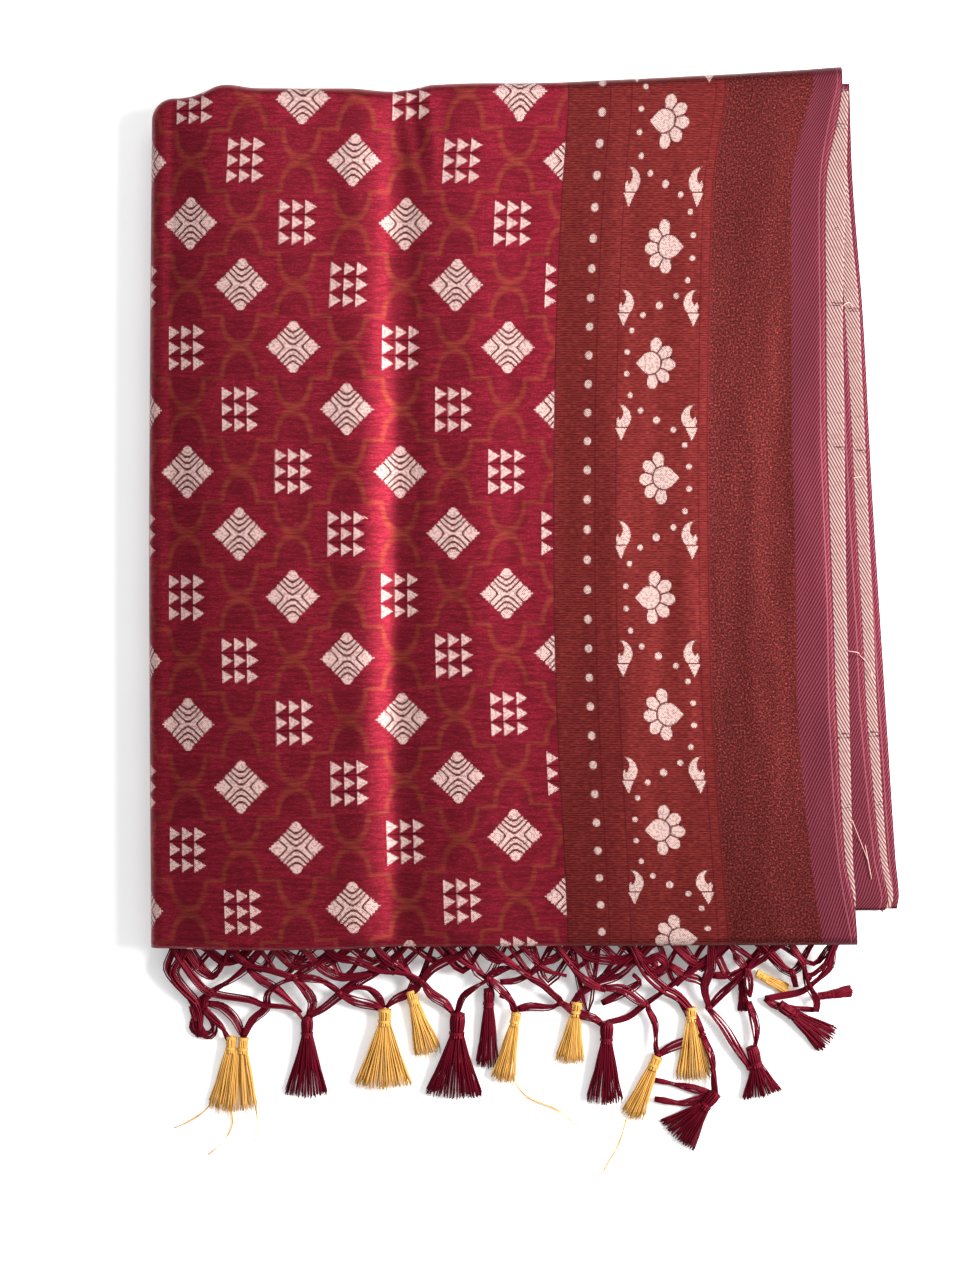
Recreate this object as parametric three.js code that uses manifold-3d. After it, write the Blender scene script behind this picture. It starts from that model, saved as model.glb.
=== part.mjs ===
// A banarasi sari folded flat: a roll-edged top panel over a layered pile, with a knotted fringe.
// Millimetres, +Z up. The sari lies on z = 0, its selvedge side towards +X, its fringe towards -Y.
import * as THREE from "three";
import Module from "manifold-3d";

const wasm = await Module();
wasm.setup();

// ---------------------------------------------------------------- driving sizes
const CLOTH = 1.2; // wall of each stretch of cloth that shows
const GAP = 0.3; // air between neighbouring pieces
const PANEL_TOP = 22.2; // height of the top panel's upper face
const PILE_TOP = 18.9; // height of the hidden layers' upper face
const BAND_WIDTH = 46; // how far a lower stretch reaches in under the pile
const GROOVE = 1.2; // depth of the groove between two hidden layers

// The top panel rolls over its left fold and its top fold.
const ROLL = { left: 6.6, top: 5.1, corner: 9, tuck: 2, halfTurnSteps: 6 };

// Outline of the top panel, seen from above.
const SELVEDGE = [
  { y: -172.0, x: 143.6 },
  { y: -155.5, x: 142.2 },
  { y: -137.5, x: 138.6 },
  { y: -81.5, x: 135.2 },
  { y: -41.5, x: 133.8 },
  { y: 30.5, x: 131.4 },
  { y: 86.5, x: 130.9 },
  { y: 136.9, x: 131.2 },
  { y: 160.0, x: 135.6 },
  { y: 180.0, x: 138.4 },
];
const LEFT_FOLD = [
  { y: -173, x: -140.0 },
  { y: -30, x: -140.4 },
  { y: 60, x: -140.0 },
  { y: 170, x: -139.2 },
];
const LOWER_EDGE = [
  { x: -140, y: -173.6 },
  { x: -75, y: -173.7 },
  { x: -43, y: -172.7 },
  { x: 144, y: -171.9 },
];
const TOP_FOLD = [
  { x: -140, y: 167.6 },
  { x: -124, y: 168.2 },
  { x: -111, y: 172.0 },
  { x: -98, y: 170.8 },
  { x: -62, y: 171.2 },
  { x: -42, y: 170.2 },
  { x: -24, y: 173.0 },
  { x: 26, y: 173.8 },
  { x: 104, y: 177.5 },
  { x: 140, y: 180.2 },
];

// Soft creases that run the length of the top panel: rise above or below its level, half width.
const CREASES = [
  { name: "left swell", x: -84, rise: 0.9, half: 26 },
  { name: "ridge", x: -57, rise: 1.2, half: 9 },
  { name: "valley", x: -40, rise: -1.5, half: 6.5 },
  { name: "middle swell", x: -10, rise: 0.9, half: 15 },
  { name: "border swell", x: 46, rise: 0.6, half: 15 },
  { name: "border dip", x: 92, rise: -0.25, half: 14 },
];
const PANEL_COLUMNS = [
  -131, -112, -92, -76, -64, -57, -50, -45, -40, -35, -29, -20, -8, 8, 28, 46, 66, 92, 116, 137,
];
const PANEL_ROWS = 12;

// Right-hand edges of the stretches below the top panel, each with its height in the pile.
const STRETCHES = [
  {
    name: "second_stretch",
    slot: "wrong_side",
    z: 19.2,
    edge: [
      { y: -168, x: 140.6 },
      { y: -156, x: 143.0 },
      { y: -139, x: 142.0 },
      { y: -42, x: 140.3 },
      { y: 31, x: 139.5 },
      { y: 137, x: 140.0 },
      { y: 172, x: 139.4 },
    ],
  },
  {
    name: "third_stretch",
    slot: "right_side",
    z: 7.5,
    edge: [
      { y: -159.8, x: 157.4 },
      { y: -154.6, x: 158.6 },
      { y: -138.7, x: 155.5 },
      { y: -82, x: 150.0 },
      { y: -41.4, x: 147.7 },
      { y: 31.6, x: 143.2 },
      { y: 86, x: 139.2 },
      { y: 174, x: 134.4 },
    ],
  },
  {
    name: "fourth_stretch",
    slot: "wrong_side",
    z: 6,
    edge: [
      { y: -159.4, x: 159.6 },
      { y: -154.8, x: 161.0 },
      { y: -138.9, x: 158.5 },
      { y: -82, x: 154.2 },
      { y: -41.4, x: 152.0 },
      { y: 31.8, x: 148.1 },
      { y: 88.7, x: 146.0 },
      { y: 113, x: 143.6 },
      { y: 176, x: 139.4 },
    ],
  },
  {
    name: "fifth_stretch",
    slot: "right_side",
    z: 4.5,
    edge: [
      { y: -159.6, x: 161.6 },
      { y: -154, x: 162.4 },
      { y: -139.1, x: 161.1 },
      { y: -82.1, x: 157.2 },
      { y: -41.4, x: 154.8 },
      { y: 31.9, x: 150.5 },
      { y: 86.5, x: 147.4 },
      { y: 140.3, x: 143.8 },
      { y: 178.4, x: 142.6 },
    ],
  },
];
const STRETCH_ROWS = 14;

// The lower part of the pile lies turned by about three degrees below the upper part.
const TURNED_LEFT = [
  { y: -168, x: -117 },
  { y: 176, x: -134 },
];
const TURNED_BOTTOM = [
  { x: -117, y: -168 },
  { x: 160, y: -159 },
];
const TURNED_TOP = [
  { x: -134, y: 166 },
  { x: 143, y: 180 },
];

// Hidden layers from the surface up: heights, and how far each side is set in from its outline.
const LAYERS = [
  { part: "lower", low: 0.0, high: 1.3, left: 3.0, right: 5.0, bottom: 3.0, top: 3.5 },
  { part: "lower", low: 1.6, high: 2.7, left: 1.0, right: 3.2, bottom: 1.0, top: 1.6 },
  { part: "lower", low: 3.0, high: 4.2, left: 2.2, right: 4.2, bottom: 2.0, top: 2.4 },
  { part: "lower", low: 4.5, high: 5.7, left: 0.6, right: 58, bottom: 1.2, top: 1.0 },
  { part: "lower", low: 6.0, high: 7.2, left: 1.8, right: 58, bottom: 2.6, top: 2.2 },
  { part: "lower", low: 7.5, high: 8.7, left: 0.8, right: 58, bottom: 1.4, top: 1.2 },
  { part: "upper", low: 9.0, high: 10.8, left: 10.5, right: 7.0, bottom: 27, top: 3.0 },
  { part: "upper", low: 11.1, high: 12.6, left: 5.2, right: 3.0, bottom: 3.4, top: 10.5 },
  { part: "upper", low: 12.9, high: 14.1, left: 3.2, right: 4.2, bottom: 5.0, top: 10.5 },
  { part: "upper", low: 14.4, high: 15.8, left: 2.6, right: 2.6, bottom: 3.0, top: 6.0 },
  { part: "upper", low: 16.1, high: 17.4, left: 2.8, right: 3.8, bottom: 4.4, top: 4.8 },
  { part: "upper", low: 17.7, high: PILE_TOP, left: 3.8, right: 2.8, bottom: 3.2, top: 5.2 },
];
const NECK = { left: 30, right: 66, bottom: 30, top: 16 };
const LAYER_CORNER = 6;
const LAYER_SIDE_STEPS = 4;

// The narrow end of the cloth that the fringe grows from.
const STRIP = { left: -130, right: 137, back: -150, front: -172, low: 9.3, high: 10.5, roots: 9.9 };
const ROOTS = [
  -129, -124, -116, -101.7, -87.4, -72.4, -63, -49.6, -37.3, -24.3, -17, -8.8, -1.9, 8.3, 22.1,
  30.7, 40.9, 55.1, 63.3, 73.5, 83.7, 91.8, 100, 108.1, 120.3, 134,
];
const BUNDLE = { halfWidth: 1.5, halfHeight: 1.1, hump: 0.9, sway: 0.08 };
const KNOT_RADIUS = 2.3;

// Knots of the net, and the roots or knots that each one gathers.
const KNOTS = [
  { name: "n01", x: -124.2, y: -185.3, z: 4.2, above: ["a0", "a1"] },
  { name: "n02", x: -117.6, y: -193.9, z: 3.6, above: ["n01", "a2"] },
  { name: "n03", x: -102.0, y: -184.1, z: 5.0, above: ["a2", "a3"] },
  { name: "n04", x: -96.2, y: -198.9, z: 3.6, above: ["n03", "n05"] },
  { name: "n05", x: -83.1, y: -187.0, z: 4.6, above: ["a4", "a5"] },
  { name: "n06", x: -65.4, y: -193.9, z: 3.8, above: ["a5", "a6"] },
  { name: "n07", x: -49.4, y: -184.1, z: 5.0, above: ["a6", "a7"] },
  { name: "n08", x: -31.4, y: -189.8, z: 4.4, above: ["a8", "a9", "n09"] },
  { name: "n09", x: -17.0, y: -179.6, z: 6.0, above: ["a9", "a10", "a11"] },
  { name: "n10", x: -5.5, y: -186.4, z: 4.6, above: ["n09", "a12"] },
  { name: "n11", x: 11.3, y: -186.5, z: 4.6, above: ["a12", "a13"] },
  { name: "n12", x: 24.4, y: -194.6, z: 3.8, above: ["n11", "a14"] },
  { name: "n13", x: 40.0, y: -189.5, z: 4.2, above: ["a15", "a16"] },
  { name: "n14", x: 58.5, y: -199.3, z: 3.8, above: ["n13", "a17", "n15"] },
  { name: "n15", x: 68.7, y: -191.2, z: 4.4, above: ["a18", "a19"] },
  { name: "n16", x: 84.3, y: -187.6, z: 4.8, above: ["a19", "a20"] },
  { name: "n17", x: 89.4, y: -200.5, z: 5.6, above: ["n16", "n19"] },
  { name: "n18", x: 85.4, y: -212.6, z: 6.4, above: ["n17"] },
  { name: "n19", x: 100.7, y: -182.0, z: 5.6, above: ["a21", "a22", "a23"] },
  { name: "n20", x: 119.2, y: -185.3, z: 4.6, above: ["a23", "a24"] },
  { name: "n21", x: 128.6, y: -190.2, z: 4.2, above: ["n20", "a25"] },
];

// Tassels: top of the head, end of the skirt, half its width, head radius, locks in each tier.
const TASSELS = [
  { thread: "maroon", x: -131.8, y: -183.6, endX: -122.9, endY: -212.0, half: 2.6, head: 2.2,
    lower: 3, upper: 0, lift: 0, above: ["a0"], tails: [] },
  { thread: "gold", x: -108.1, y: -213.6, endX: -109.8, endY: -243.2, half: 10.7, head: 3.6,
    lower: 5, upper: 4, lift: 0, above: ["n02", "n04"],
    tails: [{ x: -133.6, y: -250.5 }, { x: -120.0, y: -261.6 }, { x: -101.1, y: -256.3 }] },
  { thread: "maroon", x: -79.0, y: -204.6, endX: -79.4, endY: -237.8, half: 8.6, head: 3.2,
    lower: 4, upper: 3, lift: 0, above: ["n05", "n06"], tails: [] },
  { thread: "gold", x: -47.0, y: -200.9, endX: -47.8, endY: -233.7, half: 11.6, head: 3.6,
    lower: 5, upper: 4, lift: 1.9, above: ["n06", "n07"], tails: [] },
  { thread: "gold", x: -35.3, y: -196.2, endX: -29.3, endY: -219.8, half: 5.4, head: 2.8,
    lower: 3, upper: 0, lift: 0, above: ["n08"], tails: [] },
  { thread: "maroon", x: -17.0, y: -203.0, endX: -18.9, endY: -237.8, half: 12.0, head: 3.8,
    lower: 5, upper: 4, lift: 1.9, above: ["n08", "n10"], tails: [] },
  { thread: "maroon", x: -4.3, y: -193.4, endX: -5.1, endY: -225.5, half: 4.6, head: 2.8,
    lower: 3, upper: 0, lift: 0, above: ["n10"], tails: [] },
  { thread: "gold", x: 7.0, y: -202.5, endX: 1.2, endY: -230.9, half: 4.4, head: 2.6,
    lower: 3, upper: 2, lift: 1.9, above: ["n10", "n11"], tails: [{ x: 32.8, y: -249.7 }] },
  { thread: "gold", x: 31.8, y: -198.4, endX: 28.8, endY: -223.5, half: 5.8, head: 2.8,
    lower: 3, upper: 0, lift: 0, above: ["n13"], tails: [] },
  { thread: "maroon", x: 44.1, y: -206.2, endX: 43.3, endY: -240.3, half: 7.4, head: 3.6,
    lower: 4, upper: 3, lift: 1.9, above: ["n12", "n13"], tails: [] },
  { thread: "gold", x: 65.0, y: -220.6, endX: 54.4, endY: -246.0, half: 4.6, head: 2.8,
    lower: 3, upper: 2, lift: 0, above: ["n14"], tails: [{ x: 40.6, y: -271.1 }] },
  { thread: "gold", x: 78.6, y: -200.5, endX: 80.5, endY: -230.6, half: 7.6, head: 2.8,
    lower: 4, upper: 0, lift: 0, above: ["n15"], tails: [] },
  { thread: "maroon", x: 105.2, y: -213.7, endX: 107.7, endY: -237.4, half: 8.6, head: 3.2,
    lower: 4, upper: 3, lift: 0, above: ["n17"], tails: [] },
  { thread: "maroon", x: 89.2, y: -235.4, endX: 72.4, endY: -254.4, half: 10.0, head: 3.2,
    lower: 5, upper: 4, lift: 0, above: ["n18"], tails: [] },
  { thread: "maroon", x: 115.1, y: -199.3, endX: 136.4, endY: -214.9, half: 6.6, head: 2.8,
    lower: 3, upper: 3, lift: 0, above: ["n20"], tails: [] },
  { thread: "maroon", x: 131.4, y: -196.0, endX: 145.4, endY: -194.0, half: 2.2, head: 1.8,
    lower: 2, upper: 0, lift: 0, above: ["n21"], tails: [] },
  { thread: "gold", x: 105.8, y: -186.6, endX: 118.6, endY: -193.4, half: 2.2, head: 1.8,
    lower: 2, upper: 0, lift: 0, above: ["n19"], tails: [] },
  { thread: "maroon", x: 99.4, y: -188.6, endX: 100.8, endY: -202.4, half: 2.6, head: 1.8,
    lower: 2, upper: 0, lift: 0, above: ["n19"], tails: [] },
];
const TIER = { low: 1.3, step: 1.9, halfHeight: 0.75, fill: 0.42 };
const HEAD_SIDES = 6;
const TAIL = { halfWidth: 0.6, halfHeight: 0.5, z: 0.9 };

// ---------------------------------------------------------------- finishes
const FINISH = {
  right_side: { color: 0x7a1428, roughness: 0.5, metalness: 0.1 },
  wrong_side: { color: 0xd9b7a4, roughness: 0.7, metalness: 0.0 },
  hidden: { color: 0x6c1526, roughness: 0.7, metalness: 0.0 },
  maroon: { color: 0x6e1028, roughness: 0.6, metalness: 0.0 },
  gold: { color: 0xd9a74e, roughness: 0.5, metalness: 0.0 },
};

// ---------------------------------------------------------------- small tools
const { lerp } = THREE.MathUtils;
const UP = new THREE.Vector3(0, 0, 1);

// Reads one column of a table by another, on a smooth curve through its rows.
function read(table, from, to, value) {
  const last = table.length - 1;
  if (value <= table[0][from]) return table[0][to];
  if (value >= table[last][from]) return table[last][to];
  const row = table.findIndex((entry) => entry[from] > value) - 1;
  const slope = (k) => {
    const before = table[Math.max(k - 1, 0)];
    const after = table[Math.min(k + 1, last)];
    return (after[to] - before[to]) / (after[from] - before[from]);
  };
  const a = table[row];
  const b = table[row + 1];
  const span = b[from] - a[from];
  const t = (value - a[from]) / span;
  const rise = t * t * (3 - 2 * t);
  const leave = t * (1 - t) * (1 - t) * span * slope(row);
  const arrive = t * t * (t - 1) * span * slope(row + 1);
  return lerp(a[to], b[to], rise) + leave + arrive;
}

function signedVolume(points, faces) {
  let sum = 0;
  for (const [a, b, c] of faces) {
    sum += points[a].dot(points[b].clone().cross(points[c]));
  }
  return sum / 6;
}

// A solid as points and triangles, turned so that its faces point out.
function solid(points, faces) {
  if (signedVolume(points, faces) < 0) {
    return { points, faces: faces.map(([a, b, c]) => [a, c, b]) };
  }
  return { points, faces };
}

// Joins rings of equal length into one closed solid with a flat end on each side.
function loft(rings) {
  const count = rings[0].length;
  const points = rings.flat();
  const faces = [];
  for (let r = 0; r + 1 < rings.length; r += 1) {
    for (let k = 0; k < count; k += 1) {
      const a = r * count + k;
      const b = r * count + ((k + 1) % count);
      faces.push([a, b, b + count], [a, b + count, a + count]);
    }
  }
  for (const r of [0, rings.length - 1]) {
    const centre = new THREE.Vector3();
    rings[r].forEach((point) => centre.addScaledVector(point, 1 / count));
    const hub = points.push(centre) - 1;
    for (let k = 0; k < count; k += 1) {
      const a = r * count + k;
      const b = r * count + ((k + 1) % count);
      faces.push(r === 0 ? [hub, b, a] : [hub, a, b]);
    }
  }
  return solid(points, faces);
}

// Closes two equal grids of points, an outer and an inner face, into one wall of cloth.
function clothWall(outer, inner) {
  const rows = outer.length;
  const columns = outer[0].length;
  const points = [...outer.flat(), ...inner.flat()];
  const under = rows * columns;
  const at = (row, column) => row * columns + column;
  const faces = [];
  const quad = (a, b, c, d) => faces.push([a, b, c], [a, c, d]);
  for (let r = 0; r + 1 < rows; r += 1) {
    for (let c = 0; c + 1 < columns; c += 1) {
      const corners = [at(r, c), at(r, c + 1), at(r + 1, c + 1), at(r + 1, c)];
      quad(...corners);
      quad(...corners.map((k) => k + under).reverse());
    }
  }
  const rim = [];
  for (let c = 0; c + 1 < columns; c += 1) rim.push([at(0, c), at(0, c + 1)]);
  for (let r = 0; r + 1 < rows; r += 1) rim.push([at(r, columns - 1), at(r + 1, columns - 1)]);
  for (let c = columns - 1; c > 0; c -= 1) rim.push([at(rows - 1, c), at(rows - 1, c - 1)]);
  for (let r = rows - 1; r > 0; r -= 1) rim.push([at(r, 0), at(r - 1, 0)]);
  for (const [a, b] of rim) quad(b, a, a + under, b + under);
  return solid(points, faces);
}

function toManifold({ points, faces }) {
  const vertProperties = new Float32Array(points.flatMap((point) => point.toArray()));
  const triVerts = new Uint32Array(faces.flat());
  return new wasm.Manifold(new wasm.Mesh({ numProp: 3, vertProperties, triVerts }));
}

function fromManifold(body) {
  const mesh = body.getMesh();
  const points = [];
  for (let k = 0; k < mesh.vertProperties.length; k += mesh.numProp) {
    points.push(new THREE.Vector3(...mesh.vertProperties.slice(k, k + 3)));
  }
  const faces = [];
  for (let k = 0; k < mesh.triVerts.length; k += 3) {
    faces.push([...mesh.triVerts.slice(k, k + 3)]);
  }
  return { points, faces };
}

function fuse(solids) {
  return solids.map(toManifold).reduce((whole, piece) => whole.add(piece));
}

function named(name, finish, { points, faces }) {
  const geometry = new THREE.BufferGeometry().setFromPoints(points);
  geometry.setIndex(faces.flat());
  geometry.computeVertexNormals();
  const mesh = new THREE.Mesh(geometry, new THREE.MeshStandardMaterial(FINISH[finish]));
  mesh.name = name;
  return mesh;
}

// ---------------------------------------------------------------- top panel
const panelOutline = {
  left: (y) => read(LEFT_FOLD, "y", "x", y),
  right: (y) => read(SELVEDGE, "y", "x", y),
  bottom: (x) => read(LOWER_EDGE, "x", "y", x),
  top: (x) => read(TOP_FOLD, "x", "y", x),
};

function relief(x) {
  return CREASES.reduce((sum, crease) => {
    const away = (x - crease.x) / crease.half;
    return sum + crease.rise * Math.exp(-away * away);
  }, 0);
}

// A point of the flat part: column by its nominal x, row from 0 at the lower edge to 1.
function panelPoint(nominalX, row) {
  const first = PANEL_COLUMNS[0];
  const last = PANEL_COLUMNS[PANEL_COLUMNS.length - 1];
  const top = panelOutline.top(nominalX) - ROLL.corner;
  const y = lerp(panelOutline.bottom(nominalX), top, row);
  const start = panelOutline.left(y) + ROLL.corner;
  const x = lerp(start, panelOutline.right(y), (nominalX - first) / (last - first));
  return new THREE.Vector3(x, y, PANEL_TOP + relief(x));
}

// How far step `ring` of the roll has gone out and down, and the way its outer face looks.
function rollStep(ring, radius) {
  const turn = (Math.PI * Math.min(Math.max(ring - 1, 0), ROLL.halfTurnSteps)) / ROLL.halfTurnSteps;
  const tucked = ring > ROLL.halfTurnSteps + 1 ? ROLL.tuck : 0;
  const out = ring === 0 ? 0 : ROLL.corner - radius + radius * Math.sin(turn) - tucked;
  return { out, down: radius * (1 - Math.cos(turn)), turn };
}

// One point of the panel and the outward direction of its face there.
function panelSample(columnsOut, rowsOut, nominalX, row) {
  const ring = Math.max(columnsOut, rowsOut);
  const base = panelPoint(nominalX, row);
  if (ring === 0) return { point: base, normal: UP.clone() };
  const eighth = Math.PI / 4;
  const heading =
    columnsOut >= rowsOut
      ? (eighth * rowsOut) / columnsOut
      : 2 * eighth - (eighth * columnsOut) / rowsOut;
  const radius = lerp(ROLL.left, ROLL.top, heading / (2 * eighth));
  const { out, down, turn } = rollStep(ring, radius);
  const away = new THREE.Vector3(-Math.cos(heading), Math.sin(heading), 0);
  const bump = relief(base.x) * Math.max(0, Math.cos(turn));
  const point = base.clone().addScaledVector(away, out);
  point.z = PANEL_TOP + bump - down;
  const normal = away.multiplyScalar(Math.sin(turn)).addScaledVector(UP, Math.cos(turn));
  return { point, normal };
}

function topPanel() {
  const rings = ROLL.halfTurnSteps + 2;
  const outer = [];
  const inner = [];
  for (let r = 0; r <= PANEL_ROWS + rings; r += 1) {
    const rowsOut = Math.max(0, r - PANEL_ROWS);
    const row = Math.min(r, PANEL_ROWS) / PANEL_ROWS;
    const samples = [];
    for (let ring = rings; ring > 0; ring -= 1) {
      samples.push(panelSample(ring, rowsOut, PANEL_COLUMNS[0], row));
    }
    for (const nominalX of PANEL_COLUMNS) {
      samples.push(panelSample(0, rowsOut, nominalX, row));
    }
    outer.push(samples.map(({ point }) => point));
    inner.push(samples.map(({ point, normal }) => point.clone().addScaledVector(normal, -CLOTH)));
  }
  return clothWall(outer, inner);
}

// ---------------------------------------------------------------- lower stretches
function stretch({ z, edge }) {
  const from = edge[0].y;
  const to = edge[edge.length - 1].y;
  const face = (height) => {
    const rows = [];
    for (let r = 0; r <= STRETCH_ROWS; r += 1) {
      const y = lerp(from, to, r / STRETCH_ROWS);
      const right = read(edge, "y", "x", y);
      const columns = [right - BAND_WIDTH, right];
      rows.push(columns.map((x) => new THREE.Vector3(x, y, height)));
    }
    return rows;
  };
  return clothWall(face(z + CLOTH), face(z));
}

// ---------------------------------------------------------------- hidden layers
const turnedOutline = {
  left: (y) => read(TURNED_LEFT, "y", "x", y),
  right: (y) => read(STRETCHES[3].edge, "y", "x", y),
  bottom: (x) => read(TURNED_BOTTOM, "x", "y", x),
  top: (x) => read(TURNED_TOP, "x", "y", x),
};
const OUTLINES = { upper: panelOutline, lower: turnedOutline };

// The four sides of an outline, set in, as one ring of points with cut corners.
function layerRing(outline, z, inset) {
  const low = outline.bottom(0) + inset.bottom;
  const high = outline.top(0) - inset.top;
  const steps = [...Array(LAYER_SIDE_STEPS + 1).keys()].map((k) => k / LAYER_SIDE_STEPS);
  const acrossX = (t, y) =>
    lerp(outline.left(y) + inset.left + LAYER_CORNER, outline.right(y) - inset.right - LAYER_CORNER, t);
  const alongY = (t, x) =>
    lerp(outline.bottom(x) + inset.bottom + LAYER_CORNER, outline.top(x) - inset.top - LAYER_CORNER, t);
  const rightmost = outline.right(0) - inset.right;
  const leftmost = outline.left(0) + inset.left;
  const bottomSide = steps.map((t) => {
    const x = acrossX(t, low);
    return new THREE.Vector3(x, outline.bottom(x) + inset.bottom, z);
  });
  const rightSide = steps.map((t) => {
    const y = alongY(t, rightmost);
    return new THREE.Vector3(outline.right(y) - inset.right, y, z);
  });
  const topSide = steps.map((t) => {
    const x = acrossX(1 - t, high);
    return new THREE.Vector3(x, outline.top(x) - inset.top, z);
  });
  const leftSide = steps.map((t) => {
    const y = alongY(1 - t, leftmost);
    return new THREE.Vector3(outline.left(y) + inset.left, y, z);
  });
  return [...bottomSide, ...rightSide, ...topSide, ...leftSide];
}

// The deepest of two layers' insets on each side, plus the groove between them.
function grooveInset(a, b) {
  const inset = {};
  for (const side of ["left", "right", "bottom", "top"]) {
    inset[side] = Math.max(a[side], b[side]) + GROOVE;
  }
  return inset;
}

function hiddenLayers() {
  const rings = [];
  LAYERS.forEach((layer, k) => {
    const outline = OUTLINES[layer.part];
    rings.push(layerRing(outline, layer.low, layer), layerRing(outline, layer.high, layer));
    const next = LAYERS[k + 1];
    if (!next) return;
    if (next.part !== layer.part) {
      rings.push(layerRing(panelOutline, layer.high, NECK), layerRing(panelOutline, next.low, NECK));
      return;
    }
    const inset = grooveInset(layer, next);
    rings.push(layerRing(outline, layer.high, inset), layerRing(outline, next.low, inset));
  });
  return loft(rings);
}

// ---------------------------------------------------------------- fringe
// A four-sided strand through a few points, each with its own half width and half height.
function strand(points, halfWidths, halfHeights) {
  const rings = points.map((point, k) => {
    const before = points[Math.max(k - 1, 0)];
    const after = points[Math.min(k + 1, points.length - 1)];
    const ahead = after.clone().sub(before).normalize();
    const side = new THREE.Vector3().crossVectors(UP, ahead).normalize();
    const over = new THREE.Vector3().crossVectors(ahead, side);
    const corner = (s, h) =>
      point
        .clone()
        .addScaledVector(side, s * halfWidths[k])
        .addScaledVector(over, h * halfHeights[k]);
    return [corner(-1, 0), corner(0, 1), corner(1, 0), corner(0, -1)];
  });
  return loft(rings);
}

// A bundle of thread from one place to another, swayed a little and humped like limp cord.
function bundle(start, end, index) {
  const middle = start.clone().lerp(end, 0.5);
  const along = end.clone().sub(start);
  const side = new THREE.Vector3(-along.y, along.x, 0);
  middle.addScaledVector(side, BUNDLE.sway * (index % 2 === 0 ? 1 : -1));
  middle.z += BUNDLE.hump;
  const widths = [BUNDLE.halfWidth, BUNDLE.halfWidth, BUNDLE.halfWidth];
  const heights = [BUNDLE.halfHeight, BUNDLE.halfHeight, BUNDLE.halfHeight];
  return strand([start, middle, end], widths, heights);
}

function knot(centre) {
  const rings = [-0.8, 0, 0.8].map((t) => {
    const radius = KNOT_RADIUS * Math.sqrt(1 - t * t * 0.9);
    return [...Array(5).keys()].map((k) => {
      const turn = (2 * Math.PI * k) / 5;
      const flat = new THREE.Vector3(Math.cos(turn), Math.sin(turn), 0);
      return centre.clone().addScaledVector(flat, radius).addScaledVector(UP, t * KNOT_RADIUS);
    });
  });
  return loft(rings);
}

function headHeight(tassel) {
  return Math.max(tassel.head + 0.4, TIER.low + tassel.lift + TIER.step * 0.5);
}

function headTop(tassel) {
  return new THREE.Vector3(tassel.x, tassel.y, headHeight(tassel));
}

function skirtDirection(tassel) {
  return new THREE.Vector3(tassel.endX - tassel.x, tassel.endY - tassel.y, 0).normalize();
}

// The wound head of a tassel: a bulb, a bound neck and the start of the skirt.
const HEAD_PROFILE = [
  { along: 0.0, radius: 0.45 },
  { along: 0.9, radius: 1.0 },
  { along: 1.7, radius: 0.7 },
  { along: 2.3, radius: 0.9 },
];

function tasselHead(tassel, margin) {
  const ahead = skirtDirection(tassel);
  const side = new THREE.Vector3().crossVectors(UP, ahead);
  const last = HEAD_PROFILE.length - 1;
  const rings = HEAD_PROFILE.map(({ along, radius }, k) => {
    const shift = k === 0 ? -margin : k === last ? margin : 0;
    const centre = headTop(tassel).addScaledVector(ahead, along * tassel.head + shift);
    const size = radius * tassel.head + margin;
    return [...Array(HEAD_SIDES).keys()].map((s) => {
      const turn = (2 * Math.PI * s) / HEAD_SIDES;
      return centre
        .clone()
        .addScaledVector(side, size * Math.cos(turn))
        .addScaledVector(UP, size * Math.sin(turn));
    });
  });
  return loft(rings);
}

// One tier of locks, fanned from the neck to the skirt's end.
function tierOfLocks(tassel, count, z) {
  const ahead = skirtDirection(tassel);
  const side = new THREE.Vector3().crossVectors(UP, ahead);
  const top = headTop(tassel);
  const length = Math.hypot(tassel.endX - tassel.x, tassel.endY - tassel.y);
  const neck = 2.0 * tassel.head;
  const spacing = (2 * tassel.half) / count;
  return [...Array(count).keys()].map((k) => {
    const across = (k + 0.5) * spacing - tassel.half;
    const ragged = 1 - 0.05 * ((k * 2) % 3);
    const place = (distance, sideways, height) => {
      const point = top.clone().addScaledVector(ahead, distance).addScaledVector(side, sideways);
      point.z = height;
      return point;
    };
    const root = place(neck, across * 0.12, top.z);
    const middle = place(lerp(neck, length, 0.45), across * 0.75, lerp(z, top.z, 0.25));
    const end = place(length * ragged, across, z);
    const width = TIER.fill * spacing;
    const heights = [TIER.halfHeight, TIER.halfHeight, TIER.halfHeight];
    return strand([root, middle, end], [width * 0.3, width * 0.75, width], heights);
  });
}

// A long loose thread that trails from the skirt.
function tailThread(tassel, tail) {
  const ahead = skirtDirection(tassel);
  const start = headTop(tassel).addScaledVector(ahead, 2.0 * tassel.head);
  const end = new THREE.Vector3(tail.x, tail.y, TAIL.z);
  const middle = start.clone().lerp(end, 0.5);
  middle.z = TAIL.z + tassel.lift;
  const bend = new THREE.Vector3(tassel.endX, tassel.endY, middle.z);
  middle.lerp(bend, 0.6);
  const widths = [TAIL.halfWidth, TAIL.halfWidth, TAIL.halfWidth];
  const heights = [TAIL.halfHeight, TAIL.halfHeight, TAIL.halfHeight];
  return strand([start, middle, end], widths, heights);
}

function tasselBody(tassel) {
  const z = TIER.low + tassel.lift;
  const locks = [
    ...tierOfLocks(tassel, tassel.lower, z),
    ...tierOfLocks(tassel, tassel.upper, z + TIER.step),
    ...tassel.tails.map((tail) => tailThread(tassel, tail)),
  ];
  return fromManifold(fuse([tasselHead(tassel, 0), ...locks]));
}

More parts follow.
